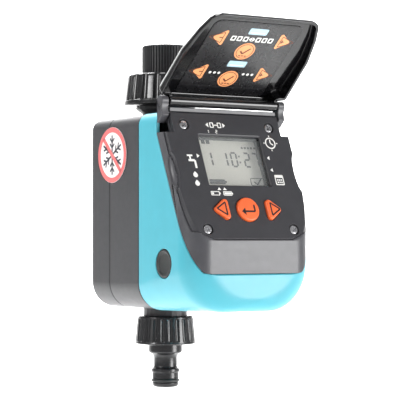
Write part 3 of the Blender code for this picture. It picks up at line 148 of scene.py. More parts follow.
def material(
    name, colour, roughness, metallic=0.0, grain=0.35, depth=0.02, mottle=0.08, uneven=0.06, scratches=0.0, ior=1.5,
    alpha=1.0, coat=0.0,
):
    """Procedural finish: colour mottling, uneven gloss, and a bump of grain (in mm) with optional scratches."""
    made = bpy.data.materials.new(name)
    made.use_nodes = True
    nodes, links = made.node_tree.nodes, made.node_tree.links
    shader = nodes["Principled BSDF"]
    shader.inputs["Metallic"].default_value = metallic
    shader.inputs["IOR"].default_value = ior
    shader.inputs["Alpha"].default_value = alpha
    shader.inputs["Coat Weight"].default_value = coat
    shader.inputs["Coat Roughness"].default_value = 0.08
    place = nodes.new("ShaderNodeTexCoord")

    def noise(size, detail, stretch=(1.0, 1.0, 1.0)):
        frame_node = nodes.new("ShaderNodeMapping")
        frame_node.inputs["Scale"].default_value = stretch
        made_noise = nodes.new("ShaderNodeTexNoise")
        made_noise.inputs["Scale"].default_value = 1.0 / size
        made_noise.inputs["Detail"].default_value = detail
        links.new(place.outputs["Object"], frame_node.inputs["Vector"])
        links.new(frame_node.outputs["Vector"], made_noise.inputs["Vector"])
        return made_noise

    clouds = noise(9.0 * MM, 3.0)
    shade = nodes.new("ShaderNodeValToRGB")
    shade.color_ramp.elements[0].position = 0.3
    shade.color_ramp.elements[1].position = 0.7
    shade.color_ramp.elements[0].color = (*(c * (1.0 - mottle) for c in colour), 1.0)
    shade.color_ramp.elements[1].color = (*(min(c * (1.0 + mottle), 1.0) for c in colour), 1.0)
    links.new(clouds.outputs["Fac"], shade.inputs["Fac"])
    links.new(shade.outputs["Color"], shader.inputs["Base Color"])

    smudge = noise(3.5 * MM, 4.0)
    gloss = nodes.new("ShaderNodeMapRange")
    gloss.inputs["To Min"].default_value = max(roughness - uneven, 0.02)
    gloss.inputs["To Max"].default_value = min(roughness + uneven, 1.0)
    links.new(smudge.outputs["Fac"], gloss.inputs["Value"])
    links.new(gloss.outputs["Result"], shader.inputs["Roughness"])

    bump = nodes.new("ShaderNodeBump")
    bump.inputs["Distance"].default_value = depth * MM
    bump.inputs["Strength"].default_value = 1.0
    height = noise(grain * MM, 2.0).outputs["Fac"]
    if scratches:
        scores = noise(0.5 * MM, 1.0, (1.0, 1.0, 0.06))
        add = nodes.new("ShaderNodeMath")
        add.operation = "MULTIPLY_ADD"
        add.inputs[1].default_value = scratches
        links.new(scores.outputs["Fac"], add.inputs[0])
        links.new(height, add.inputs[2])
        height = add.outputs["Value"]
    links.new(height, bump.inputs["Height"])
    links.new(bump.outputs["Normal"], shader.inputs["Normal"])
    return made


CHARCOAL = material("charcoal_plastic", srgb(50, 50, 53), 0.44, grain=0.5, depth=0.012, mottle=0.05)
TEAL = material("teal_plastic", srgb(70, 166, 182), 0.36, grain=0.6, depth=0.006, mottle=0.03)
MODULE_GREY = material("module_plastic", srgb(66, 66, 70), 0.36, grain=0.7, depth=0.03, mottle=0.07)
PLATE_GREY = material("plate_plastic", srgb(50, 50, 54), 0.4, grain=0.35, depth=0.008, mottle=0.05)
GLOSS_BLACK = material("gloss_black_plastic", srgb(16, 16, 18), 0.12, grain=4.0, depth=0.02, mottle=0.2, uneven=0.05)
NUT_BLACK = material("nut_plastic", srgb(26, 26, 28), 0.24, grain=1.2, depth=0.012, mottle=0.15)
RIB_BLACK = material("ribbed_plastic", srgb(38, 38, 40), 0.45, grain=0.5, depth=0.015, mottle=0.1)
INNER_BLACK = material("inner_plastic", srgb(18, 18, 20), 0.5, grain=0.5, depth=0.02, mottle=0.1)
LABEL_BLACK = material("label_film", srgb(24, 24, 26), 0.28, grain=2.0, depth=0.006, mottle=0.12)
CLEAR = material("clear_window", srgb(235, 240, 240), 0.06, grain=3.0, depth=0.002, mottle=0.02, uneven=0.03, alpha=0.12)
DISPLAY_GREY = material("display_glass", srgb(186, 184, 174), 0.3, grain=0.8, depth=0.004, mottle=0.03)
DISPLAY_INK = material("display_ink", srgb(44, 44, 44), 0.4, grain=0.5, depth=0.002, mottle=0.1)
KEY_ORANGE = material("key_rubber", srgb(238, 104, 52), 0.42, grain=0.5, depth=0.012, mottle=0.05)
KEY_INK = material("key_ink", srgb(34, 26, 24), 0.5, grain=0.5, depth=0.004, mottle=0.1)
RUBBER = material("seal_rubber", srgb(26, 30, 30), 0.5, grain=0.4, depth=0.02, mottle=0.15)
MEMBRANE = material("keypad_silicone", srgb(150, 150, 148), 0.6, grain=0.6, depth=0.02)
VALVE_PLASTIC = material("valve_plastic", srgb(58, 58, 60), 0.42, grain=0.8, depth=0.02, mottle=0.04)
STEEL = material("screw_steel", srgb(205, 205, 208), 0.2, metallic=1.0, grain=0.3, depth=0.01, scratches=0.5)
BRASS = material("contact_brass", srgb(205, 165, 90), 0.25, metallic=1.0, grain=0.3, depth=0.01, scratches=0.5)
COPPER = material("coil_winding", srgb(170, 90, 50), 0.35, metallic=0.8, grain=0.35, depth=0.08, mottle=0.15)
BOARD = material("circuit_board", srgb(30, 105, 62), 0.38, grain=0.6, depth=0.02, mottle=0.12)
BATTERY = material("battery_jacket", srgb(72, 76, 84), 0.28, metallic=0.4, grain=1.5, depth=0.01, mottle=0.12)
RED_WIRE = material("red_wire", srgb(180, 30, 28), 0.4, grain=0.4, depth=0.01)
BLACK_WIRE = material("black_wire", srgb(24, 24, 26), 0.4, grain=0.4, depth=0.01)
FILTER_MESH = material("filter_mesh", srgb(190, 190, 184), 0.5, grain=0.45, depth=0.12, mottle=0.15)
WHITE_INK = material("white_ink", srgb(236, 236, 232), 0.5, grain=0.4, depth=0.003, mottle=0.03)
ORANGE_INK = material("orange_ink", srgb(240, 160, 104), 0.45, grain=0.4, depth=0.003, mottle=0.05)
BROWN_INK = material("brown_ink", srgb(96, 48, 26), 0.5, grain=0.4, depth=0.003, mottle=0.1)
BLUE_INK = material("blue_ink", srgb(176, 208, 222), 0.45, grain=0.4, depth=0.003, mottle=0.05)
STICKER_WHITE = material("sticker_white", srgb(238, 232, 230), 0.4, grain=0.4, depth=0.004, mottle=0.03)
STICKER_RED = material("sticker_red", srgb(216, 108, 108), 0.4, grain=0.4, depth=0.004, mottle=0.06)
STICKER_DARK = material("sticker_dark", srgb(66, 66, 74), 0.42, grain=0.4, depth=0.004, mottle=0.08)

SLOT_FINISH = {
    "casing": CHARCOAL, "cowl": TEAL, "module": MODULE_GREY, "plate": PLATE_GREY, "lid": GLOSS_BLACK,
    "nut": NUT_BLACK, "inner": INNER_BLACK, "film": LABEL_BLACK, "sticker": STICKER_WHITE, "clear": CLEAR,
    "display": DISPLAY_GREY, "key": KEY_ORANGE, "seal": RUBBER, "membrane": MEMBRANE, "valve": VALVE_PLASTIC,
    "steel": STEEL, "brass": BRASS, "coil": COPPER, "board": BOARD, "battery": BATTERY,
    "red_wire": RED_WIRE, "black_wire": BLACK_WIRE, "mesh": FILTER_MESH,
}


def paint_cad_nodes():
    for part in frame["record"]["subparts"]:
        mesh = NODES[part["node"]].data
        mesh.materials.clear()
        mesh.materials.append(SLOT_FINISH[part["material_slot"]])


# ---------------------------------------------------------------- shape tools


def frame_matrix(origin, across, along, normal):
    """Matrix whose local X, Y and Z are the three given directions."""
    rotation = Matrix((across, along, normal)).transposed()
    return Matrix.Translation(origin) @ rotation.to_4x4()


ACROSS = Vector((1.0, 0.0, 0.0))
PLAN = Matrix.Identity(4)
PANEL = frame_matrix(PLATE_POINT, ACROSS, PLATE_UP, PLATE_OUT)
LID_ALONG = Vector((0.0, -math.cos(LID_ELEVATION), math.sin(LID_ELEVATION)))
LID_FRAME = frame_matrix(HINGE, ACROSS, LID_ALONG, ACROSS.cross(LID_ALONG))
SIDE = frame_matrix(Vector(), Vector((0, 1, 0)), Vector((0, 0, 1)), ACROSS)
PORT_AXIS = SIDE @ Matrix.Translation((PLUG_Y, PLUG_Z, 0.0))
LEFT_FACE = frame_matrix(Vector((0, -8.5 * MM, -67.4 * MM)), Vector((0, -1, 0)), Vector((0, 0, 1)), -ACROSS)


def made_from(name, work, place):
    """Object from a bmesh, with its place put into its vertices."""
    bmesh.ops.recalc_face_normals(work, faces=work.faces)
    work.transform(place)
    mesh = bpy.data.meshes.new(name)
    work.to_mesh(mesh)
    work.free()
    made = bpy.data.objects.new(name, mesh)
    bpy.context.scene.collection.objects.link(made)
    return made


def rounded(corners, radii, inset=0.0, steps=10):
    """Closed counter-clockwise outline through corners, moved inward by inset, an arc at each corner."""
    count = len(corners)
    outline = []
    for index in range(count):
        before, here, after = (Vector(corners[(index + k) % count]) for k in (-1, 0, 1))
        arriving = (here - before).normalized()
        leaving = (after - here).normalized()
        inward = Vector((-arriving.y - leaving.y, arriving.x + leaving.x))
        inward /= 1.0 + arriving.dot(leaving)
        corner = here + inward * inset
        turn = arriving.angle_signed(leaving) * -1.0
        radius = radii[index]
        if radius == 0.0:
            outline.append(corner)
            continue
        radius = max(radius - inset * math.copysign(1.0, turn), 0.05 * MM)
        centre = corner + inward * radius * math.copysign(1.0, turn)
        start = corner - arriving * radius * math.tan(abs(turn) / 2.0) - centre
        for step in range(steps + 1):
            angle = turn * step / steps
            outline.append(centre + Matrix.Rotation(angle, 2) @ start)
    return outline


def box_corners(low_x, high_x, low_y, high_y):
    return [(low_x, low_y), (high_x, low_y), (high_x, high_y), (low_x, high_y)]


def circle(radius, centre=(0.0, 0.0), sides=64):
    angles = (2.0 * math.pi * k / sides for k in range(sides))
    return [(centre[0] + radius * math.cos(a), centre[1] + radius * math.sin(a)) for a in angles]


def mirrored_x(points):
    """The same corners on the other side, still counter-clockwise."""
    return [(-x, y) for x, y in reversed(points)]


def add_loft(work, rings, closed=False):
    """Skin over rings with equal counts. A closed one joins its last ring to its first, with no caps."""
    rows = [[work.verts.new(point) for point in ring] for ring in rings]
    pairs = list(zip(rows, rows[1:]))
    if closed:
        pairs.append((rows[-1], rows[0]))
    else:
        work.faces.new(rows[0])
        work.faces.new(rows[-1])
    count = len(rows[0])
    for row, following in pairs:
        for k in range(count):
            j = (k + 1) % count
            work.faces.new((row[k], row[j], following[j], following[k]))


def loft(name, rings, place=PLAN):
    work = bmesh.new()
    add_loft(work, rings)
    return made_from(name, work, place)


def slab(name, outline, low, high, place):
    """One outline made solid between two heights above its plane."""
    return loft(name, [[(x, y, height) for x, y in outline] for height in (low, high)], place)


def block(name, low, high, place=PLAN):
    return slab(name, box_corners(low[0], high[0], low[1], high[1]), low[2], high[2], place)


def rod(name, radius, start, end, place=PLAN, sides=48):
    """Cylinder between two points."""
    start, end = Vector(start), Vector(end)
    turn = (end - start).to_track_quat("Z", "Y").to_matrix().to_4x4()
    middle = place @ Matrix.Translation((start + end) / 2.0) @ turn
    half = (end - start).length / 2.0
    return slab(name, circle(radius, sides=sides), -half, half, middle)


def turned(name, profile, place=PLAN, hollow=False, steps=96):
    """Profile of (radius, height) points turned about the axis. A hollow one closes on itself."""
    work = bmesh.new()
    rows = []
    for radius, height in profile:
        if radius == 0.0:
            rows.append([work.verts.new((0.0, 0.0, height))])
        else:
            rows.append([work.verts.new((x, y, height)) for x, y in circle(radius, sides=steps)])
    pairs = list(zip(rows, rows[1:]))
    if hollow:
        pairs.append((rows[-1], rows[0]))
    for upper, lower in pairs:
        for k in range(steps):
            j = (k + 1) % steps
            corners = (upper[k % len(upper)], upper[j % len(upper)], lower[j % len(lower)], lower[k % len(lower)])
            work.faces.new(list(dict.fromkeys(corners)))
    return made_from(name, work, place)


def bars(name, runs, sides=20):
    """Round bars between pairs of points, as one cutting tool."""
    work = bmesh.new()
    for low, high, radius in runs:
        turn = (high - low).to_track_quat("Z", "Y").to_matrix().to_4x4()
        bmesh.ops.create_cone(
            work, cap_ends=True, segments=sides, radius1=radius, radius2=radius, depth=(high - low).length,
            matrix=Matrix.Translation((low + high) / 2.0) @ turn,
        )
    return made_from(name, work, PLAN)


def carve(base, steps):
    """Applies boolean steps (operation, tool) in order, then removes the tools."""
    names = {"-": "DIFFERENCE", "+": "UNION", "&": "INTERSECT"}
    for operation, tool in steps:
        step = base.modifiers.new("step", "BOOLEAN")
        step.operation = names[operation]
        step.solver = "EXACT"
        step.object = tool
    bpy.context.view_layer.update()
    seen = base.evaluated_get(bpy.context.evaluated_depsgraph_get())
    mesh = bpy.data.meshes.new_from_object(seen)
    base.modifiers.clear()
    base.data = mesh
    for _, tool in steps:
        bpy.data.objects.remove(tool)
    return base


def piece(made, body, paint, slot, *nodes, edge=0.3 * MM):
    """Finishes a visible piece: material, soft edges, smooth shading, the body it rides on, what it replaces."""
    mesh = made.data
    mesh.materials.clear()
    mesh.materials.append(paint)
    mesh.shade_smooth()
    mesh.set_sharp_from_angle(angle=SHARP)
    if edge:
        soft = made.modifiers.new("edges", "BEVEL")
        soft.width = edge
        soft.segments = 2
        soft.limit_method = "ANGLE"
        soft.angle_limit = SHARP
        soft.harden_normals = True
        soft.use_clamp_overlap = False
        even = made.modifiers.new("normals", "WEIGHTED_NORMAL")
        even.keep_sharp = True
    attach(made, body)
    if nodes:
        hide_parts(*nodes)
    return made


# ---------------------------------------------------------------- casing


def case_ring(y, half_width, top, bottom, top_radius, bottom_radius):
    corners = box_corners(-half_width, half_width, bottom, top)
    outline = rounded(corners, (bottom_radius, bottom_radius, top_radius, top_radius), steps=12)
    return [(x, y, z) for x, z in outline]


SOFT_END = ((0.0, 0.45 * MM), (0.15 * MM, 0.18 * MM), (0.45 * MM, 0.0))  # (distance from the end, pulled in)


def rear_form(name, front, back, inset, soft=False):
    """Solid of the two rear shells' outline between two depths, its rear edge rounded."""
    radius = REAR_EDGE_RADIUS - inset
    stations = [(front + run, pull) for run, pull in SOFT_END] if soft else [(front, 0.0)]
    if back < REAR_Y:
        stations += [(back - run, pull) for run, pull in reversed(SOFT_END)] if soft else [(back, 0.0)]
    else:
        for angle in range(0, 91, 9):
            turn = math.radians(angle)
            depth = REAR_Y - REAR_EDGE_RADIUS + radius * math.sin(turn)
            stations.append((depth, radius * (1.0 - math.cos(turn))))
    rings = []
    for y, narrow in stations:
        pull = inset + REAR_STEP + narrow
        corner = max(TOP_RADIUS - pull, 0.5 * MM)
        low = BOTTOM_RADIUS_BACK - pull
        rings.append(case_ring(y, CASE_HALF_WIDTH - pull, CASE_TOP - pull, CASE_BOTTOM + pull, corner, low))
    return loft(name, rings)


def cowl_form(name, back, inset, soft=False):
    """Solid of the cowl's outline, narrowing round its front corners and lower front edge."""
    plan_radius = PLAN_RADIUS - inset
    edge_radius = FRONT_EDGE_RADIUS - inset
    plan_centre = FRONT_Y + PLAN_RADIUS
    edge_centre = FRONT_Y + FRONT_EDGE_RADIUS
    stations = [(back - run, pull) for run, pull in SOFT_END] if soft else [(back, 0.0)]
    stations += [(y * MM, 0.0) for y in (-45.0, -52.0, -59.0, -66.0, -73.0)]
    for angle in range(0, 91, 6):
        stations.append((plan_centre - plan_radius * math.sin(math.radians(angle)), 0.0))
    rings = []
    for y, pull in stations:
        ahead = min(max(plan_centre - y, 0.0), plan_radius)
        narrow = plan_radius - math.sqrt(plan_radius**2 - ahead**2)
        below = min(max(edge_centre - y, 0.0), edge_radius)
        lift = edge_radius - math.sqrt(edge_radius**2 - below**2)
        share = (COWL_BACK_Y - y) / (COWL_BACK_Y - FRONT_Y)
        bottom_radius = BOTTOM_RADIUS_BACK + (BOTTOM_RADIUS_FRONT - BOTTOM_RADIUS_BACK) * share
        shrink = inset + pull
        rings.append(
            case_ring(
                y,
                CASE_HALF_WIDTH - shrink - narrow,
                CASE_TOP - shrink,
                CASE_BOTTOM + shrink + lift,
                TOP_RADIUS - shrink,
                bottom_radius - shrink,
            )
        )
    return loft(name, rings)


def rim_tool(name, inset):
    """Everything in front of the joint between cowl and module."""
    far = -130.0 * MM
    corners = [
        (far, -20.0 * MM),
        (far, RIM_LOW_Z),
        (RIM_LOW_Y, RIM_LOW_Z),
        (RIM_TOP_Y, RIM_KNEE_Z),
        (RIM_TOP_Y, -20.0 * MM),
    ]
    outline = rounded(corners, (0.0, 0.0, RIM_RADIUS, 0.0, 0.0), inset, steps=12)
    return slab(name, outline, -60.0 * MM, 60.0 * MM, SIDE)


def water_holes():
    reach = 15.0 * MM
    return [
        ("-", rod("water_hole", radius, (0, 0, wall - reach), (0, 0, wall + reach), sides=96))
        for radius, wall in ((14.3 * MM, CASE_TOP), (13.6 * MM, CASE_BOTTOM))
    ]


def casing():
    rear = rear_form("rear_shell", SPLIT_Y + GAP / 2.0, REAR_Y, 0.0, soft=True)
    steps = [("-", rear_form("rear_room", SPLIT_Y - 1.0 * MM, REAR_Y, WALL))] + water_holes()
    for x, z in CASE_SCREWS:
        beyond = REAR_Y + 1.0 * MM
        steps.append(("+", rod("post", 4.2 * MM, (x, SPLIT_Y + GAP, z), (x, REAR_Y - 2.0 * MM, z))))
        steps.append(("-", rod("well", SCREW_HEAD + GAP, (x, WELL_FLOOR_Y, z), (x, beyond, z))))
        steps.append(("-", rod("way", SCREW_SHANK + GAP, (x, SPLIT_Y - 1.0 * MM, z), (x, beyond, z))))
    piece(carve(rear, steps), "casing", CHARCOAL, "casing", "rear_cover", edge=0.25 * MM)

    middle = rear_form("middle_shell", CASE_FRONT_Y, SPLIT_Y - GAP / 2.0, 0.0, soft=True)
    steps = [("-", rear_form("middle_room", CASE_FRONT_Y + 2.2 * MM, SPLIT_Y + 1.0 * MM, WALL))] + water_holes()
    for x, z in CASE_SCREWS:
        steps.append(("+", rod("post", 4.2 * MM, (x, -26.0 * MM, z), (x, SPLIT_Y - GAP / 2.0, z))))
        steps.append(("-", rod("way", SCREW_SHANK + GAP, (x, -22.0 * MM, z), (x, SPLIT_Y + 1.0 * MM, z))))
    for x in (-35.8 * MM, 35.8 * MM):
        steps.append(("-", rod("way", SCREW_SHANK + GAP, (x, -45 * MM, -100 * MM), (x, -30 * MM, -100 * MM))))
    steps.append(("-", rod("wire_way", 2.2 * MM, (0, -45 * MM, -66 * MM), (0, -30 * MM, -66 * MM))))
    piece(carve(middle, steps), "casing", CHARCOAL, "casing", "main_case", edge=0.25 * MM)

    cowl = cowl_form("teal_cowl", COWL_BACK_Y, 0.0, soft=True)
    tip = -47.4 * MM
    half = INSERT_HALF_WIDTH + GAP
    low = (-half, FRONT_Y - 1.0 * MM, INSERT_FLOOR_Z - GAP)
    slide = block("module_slide", low, (half, FRONT_Y + 8.0 * MM, INSERT_FLOOR_Z + 10.0 * MM))
    steps = [("-", cowl_form("cowl_room", COWL_BACK_Y + 1.0 * MM, WALL)), ("-", rim_tool("mouth", -GAP / 2.0))]
    steps.append(("-", slide))
    for side in (-1, 1):
        x, z = side * 35.8 * MM, -100.0 * MM
        low_x, high_x = sorted((x, side * 41.0 * MM))
        web = block("web", (low_x, tip, z - 1.0 * MM), (high_x, COWL_BACK_Y, z + 1.0 * MM))
        steps += [("+", rod("post", 4.2 * MM, (x, tip, z), (x, COWL_BACK_Y, z))), ("+", web)]
        steps.append(("-", rod("way", SCREW_SHANK + GAP, (x, tip + 0.6 * MM, z), (x, -30.0 * MM, z))))
    mouth, end = (-50 * MM, PLUG_Y, PLUG_Z), (-39 * MM, PLUG_Y, PLUG_Z)
    steps.append(("-", rod("plug_hole", PLUG_RADIUS + GAP, mouth, end, sides=96)))
    piece(carve(cowl, steps), "casing", TEAL, "cowl", "front_cowl", edge=0.45 * MM)

    face = -CASE_HALF_WIDTH
    profile = [
        (0.0, face + 2.4 * MM),
        (PLUG_RADIUS, face + 2.4 * MM),
        (PLUG_RADIUS, face + 0.4 * MM),
        (PLUG_RADIUS - 0.5 * MM, face + 0.1 * MM),
        (PLUG_RADIUS - 1.2 * MM, face + 0.1 * MM),
        (PLUG_RADIUS - 1.9 * MM, face + 0.7 * MM),
        (PLUG_RADIUS - 2.6 * MM, face + 0.9 * MM),
        (0.0, face + 0.75 * MM),
    ]
    piece(turned("port_cap", profile, PORT_AXIS), "port_plug", RUBBER, "seal", "sensor_plug", edge=0.15 * MM)


def screw(name, body, node, place, length, head_radius, head_height):
    """Cross-recess screw with a domed head. Its place's origin is the middle of the head's face."""
    profile = [
        (0.0, 0.0),
        (head_radius * 0.5, -0.05 * head_height),
        (head_radius * 0.85, -0.22 * head_height),
        (head_radius, -0.6 * head_height),
        (head_radius, -head_height),
        (SCREW_SHANK, -head_height),
        (SCREW_SHANK, -length + SCREW_SHANK),
        (0.0, -length),
    ]
    made = turned(name, profile, place, steps=40)
    steps = []
    for arm in range(2):
        aim = place @ Matrix.Rotation(math.pi / 4.0 + arm * math.pi / 2.0, 4, "Z")
        low = (-head_radius * 0.6, -head_radius * 0.15, -head_height * 0.75)
        high = (head_radius * 0.6, head_radius * 0.15, 1.0 * MM)
        steps.append(("-", block("slot", low, high, aim)))
    piece(carve(made, steps), body, STEEL, "steel", node, edge=0.1 * MM)


def screws():
    turn = Vector((0, 1, 0)).to_track_quat("Z", "Y").to_matrix().to_4x4()
    for index, (x, z) in enumerate(CASE_SCREWS, start=1):
        place = Matrix.Translation((x, WELL_FLOOR_Y + GAP + 2.0 * MM, z)) @ turn
        screw(f"rear_screw_{index}", "casing", f"case_screw_{index}", place, 30.0 * MM, SCREW_HEAD, 2.0 * MM)
    spots = [(side * SCREW_X, up, 0.0) for side in (-1, 1) for up in (0.0, -SCREW_DROP)]
    for index, spot in enumerate(spots, start=1):
        place = PANEL @ Matrix.Translation(spot)
        screw(f"face_screw_{index}", "control_module", f"plate_screw_{index}", place, 9.0 * MM, 2.8 * MM, 1.2 * MM)


# ---------------------------------------------------------------- control module


def plan_outline(inset):
    corners = box_corners(-CASE_HALF_WIDTH, CASE_HALF_WIDTH, FRONT_Y, -30.0 * MM)
    return rounded(corners, (PLAN_RADIUS, PLAN_RADIUS, 0.0, 0.0), inset, steps=18)


def plate_layer(low, high):
    """Everything between two heights above the plate's plane, wider than the casing."""
    return slab("layer", box_corners(-60 * MM, 60 * MM, PLATE_BOTTOM - 60 * MM, 60 * MM), low, high, PANEL)


def plate_area(low, high, foot, top):
    """Layer that is level at its foot and turned up at both lower corners."""
    far = 60.0 * MM
    raised = foot + (far - PLATE_TURN_X) * math.tan(PLATE_TURN)
    corners = [
        (-far, raised),
        (-PLATE_TURN_X, foot),
        (PLATE_TURN_X, foot),
        (far, raised),
        (far, top),
        (-far, top),
    ]
    outline = rounded(corners, (0.0, 8.0 * MM, 8.0 * MM, 0.0, 0.0, 0.0))
    return slab("area", outline, low, high, PANEL)


def grips():
    tools = []
    for side in (-1, 1):
        work = bmesh.new()
        bmesh.ops.create_uvsphere(work, u_segments=GRIP_SEGMENTS, v_segments=32, radius=1.0)
        centre = Matrix.Translation((side * (CASE_HALF_WIDTH + CLEAR_OF_FACE), GRIP_UP, GRIP_RAISE))
        poles_across = Matrix.Rotation(math.pi / 2.0, 4, "Y")
        half_step = Matrix.Rotation(math.pi / GRIP_SEGMENTS, 4, "Z")
        egg = Matrix.Diagonal((*GRIP_SIZE, 1.0)) @ poles_across @ half_step
        tools.append(("-", made_from("grip", work, PANEL @ centre @ egg)))
    return tools


def notches(reach):
    tools = []
    for side in (-1, 1):
        low_x, high_x = sorted((side * NOTCH_HALF_WIDTH, side * 60.0 * MM))
        tools.append(("-", block("notch", (low_x, -120 * MM, NOTCH_Z), (high_x, reach, -20 * MM))))
    return tools


def key_outlines():
    base, tip, half = ARROW
    arrow = [(base, KEY_ROW - half), (tip, KEY_ROW), (base, KEY_ROW + half)]
    radii = (2.0 * MM, 1.6 * MM, 2.0 * MM)
    reach = ENTER_RADIUS
    square = box_corners(-reach, reach, KEY_ROW - reach, KEY_ROW + reach)
    return {
        "minus": (mirrored_x(arrow), radii),
        "enter": (square, (reach - 0.01 * MM,) * 4),
        "plus": (arrow, radii),
    }


def face_plate():
    made = slab("control_plate", plan_outline(PLATE_INSET), -150 * MM, CASE_TOP - 0.5 * MM, PLAN)
    steps = [("&", plate_area(-PLATE_THICKNESS, 0.0, PLATE_BOTTOM, PLATE_TOP))] + notches(0.0) + grips()
    rings = []
    for height, inset in ((0.5 * MM, -0.4 * MM), (-0.8 * MM, 0.9 * MM), (-5.0 * MM, 0.9 * MM)):
        outline = rounded(box_corners(*WINDOW), (1.5 * MM,) * 4, inset)
        rings.append([(x, y, height) for x, y in outline])
    steps.append(("-", loft("window", rings, PANEL)))
    for corners, radii in key_outlines().values():
        steps.append(("-", slab("key_hole", rounded(corners, radii, -GAP, 16), -5.0 * MM, 2.0 * MM, PANEL)))
    for side in (-1, 1):
        for up in (0.0, -SCREW_DROP):
            top = (side * SCREW_X, up, 2.0 * MM)
            steps.append(("-", rod("well", 3.3 * MM, (top[0], up, -1.5 * MM), top, PANEL)))
            steps.append(("-", rod("way", 1.7 * MM, (top[0], up, -5.0 * MM), top, PANEL)))
    piece(carve(made, steps), "control_module", PLATE_GREY, "plate", "face_plate", edge=0.22 * MM)


def hinge_point(x):
    return HINGE + Vector((x, 0.0, 0.0))


def bracket(side):
    """Arm beside the lid: a web from the module, a leaning plate and a round eye for the hinge rod."""
    inner, outer = 38.0 * MM, 42.3 * MM
    low_x, high_x = sorted((side * inner, side * outer))
    back_y = RIM_TOP_Y - GAP
    corners = [
        (-64.6 * MM, -47.1 * MM),
        (-60.0 * MM, -51.3 * MM),
        (back_y, -51.3 * MM),
        (back_y, HINGE.z),
        (-64.4 * MM, HINGE.z),
        (-63.6 * MM, -42.8 * MM),
    ]
    arm = slab("arm", corners, low_x, high_x, SIDE)
    eye = rod("eye", 2.95 * MM, hinge_point(low_x - CLEAR_OF_FACE), hinge_point(high_x + CLEAR_OF_FACE), sides=64)
    low_x, high_x = sorted((side * 34.5 * MM, side * (inner + 0.5 * MM)))
    high = (high_x, back_y - CLEAR_OF_FACE, CASE_TOP - 0.6 * MM)
    web = block("web", (low_x, -60.7 * MM, -50.8 * MM), high)
    return [("+", web), ("+", arm), ("+", eye)]


def module_shell():
    under_plate = -PLATE_THICKNESS - GAP
    front = slab("module_shell", plan_outline(0.0), -150 * MM, CASE_TOP - 0.2 * MM, PLAN)
    inner = slab("inner", plan_outline(MODULE_WALL), -150 * MM, CASE_TOP - MODULE_WALL, PLAN)
    carve(inner, [("&", plate_layer(-80 * MM, under_plate - MODULE_WALL))])
    half = INSERT_HALF_WIDTH
    insert = block("insert", (-half, -93.0 * MM, INSERT_FLOOR_Z), (half, INSERT_BACK_Y, INSERT_TOP_Z))
    chin_room = block("chin_room", (-60 * MM, -100 * MM, -150 * MM), (60 * MM, -90.2 * MM, -130.0 * MM))
    carve(insert, [("&", plate_layer(-80 * MM, under_plate - 0.5 * MM)), ("-", chin_room)])
    wall = 2.0 * MM
    low = (-half + wall, -91.0 * MM, INSERT_FLOOR_Z + wall)
    room = block("room", low, (half - wall, INSERT_BACK_Y + 5.0 * MM, INSERT_TOP_Z - wall))
    carve(room, [("&", plate_layer(-80 * MM, under_plate - MODULE_WALL - CLEAR_OF_FACE))])
    steps = [
        ("&", rim_tool("rim", GAP / 2.0)),
        ("-", plate_area(under_plate, 60 * MM, PLATE_BOTTOM - GAP, 60 * MM)),
        ("-", plate_layer(0.02 * MM, 60 * MM)),
        ("-", inner),
        ("+", insert),
        ("-", room),
    ]
    steps += notches(-40 * MM) + grips()
    way = rounded(box_corners(*DISPLAY), (0.0,) * 4, -GAP)
    steps.append(("-", slab("display_way", way, -9.0 * MM, 1.0 * MM, PANEL)))
    way = rounded(box_corners(-28.5 * MM, 28.5 * MM, KEY_ROW - 10.2 * MM, KEY_ROW + 10.2 * MM), (2.0 * MM,) * 4)
    steps.append(("-", slab("key_way", way, -6.0 * MM, 1.0 * MM, PANEL)))
    for side in (-1, 1):
        for up in (0.0, -SCREW_DROP):
            x = side * SCREW_X
            steps.append(("-", rod("way", 1.7 * MM, (x, up, -9.0 * MM), (x, up, 2.0 * MM), PANEL)))
    back, foot, ahead = RIM_TOP_Y - GAP, -61.2 * MM, -63.0 * MM
    ridge = [
        (ahead, RIDGE_TOP),
        (ahead, -44.9 * MM),
        (foot, -44.9 * MM),
        (foot, -46.0 * MM),
        (back, -46.0 * MM),
        (back, RIDGE_TOP),
    ]
    steps.append(("+", slab("ridge", ridge, -RIDGE_HALF_WIDTH, RIDGE_HALF_WIDTH, SIDE)))
    for side in (-1, 1):
        steps += bracket(side)
        steps.append(("-", rod("rod_hole", ROD_RADIUS + GAP, hinge_point(side * 37 * MM), hinge_point(side * 41.4 * MM))))
    made = carve(front, steps)
    made.modifiers.new("split", "TRIANGULATE")  # the face round the display has a hole, which softening would fill
    piece(made, "control_module", MODULE_GREY, "module", "module_body", edge=0.35 * MM)


def key_pads():
    under = -PLATE_THICKNESS - GAP
    heights = [(under - 1.0 * MM, -KEY_FLANGE), (under, -KEY_FLANGE), (under, 0.0)]
    for turn in (0, 20, 40, 60, 80, 90):
        angle = math.radians(turn)
        crown = 0.9 * MM
        heights.append((KEY_RISE - crown * (1.0 - math.sin(angle)), crown * (1.0 - math.cos(angle))))
    for name, (corners, radii) in key_outlines().items():
        rings = []
        for height, inset in heights:
            rings.append([(x, y, height) for x, y in rounded(corners, radii, inset, steps=16)])
        made = loft(f"{name}_pad", rings, PANEL)
        piece(made, f"{name}_key", KEY_ORANGE, "key", f"{name}_button", edge=0.0)


# ---------------------------------------------------------------- lid


def lid_outline(inset, hinge_end):
    half, narrow, eye = LID_HALF_WIDTH, 37.4 * MM, 3.7 * MM
    right = [
        (narrow, hinge_end),
        (narrow, eye),
        (half, eye),
        (half, 34.0 * MM),
        (39.8 * MM, 50.5 * MM),
        (35.0 * MM, LID_LENGTH),
    ]
    radii = [1.0 * MM, 0.6 * MM, 1.5 * MM, 18.0 * MM, 8.0 * MM, 7.0 * MM]
    corners = right + [(-x, y) for x, y in reversed(right)]
    return rounded(corners, radii + radii[::-1], inset, steps=10)


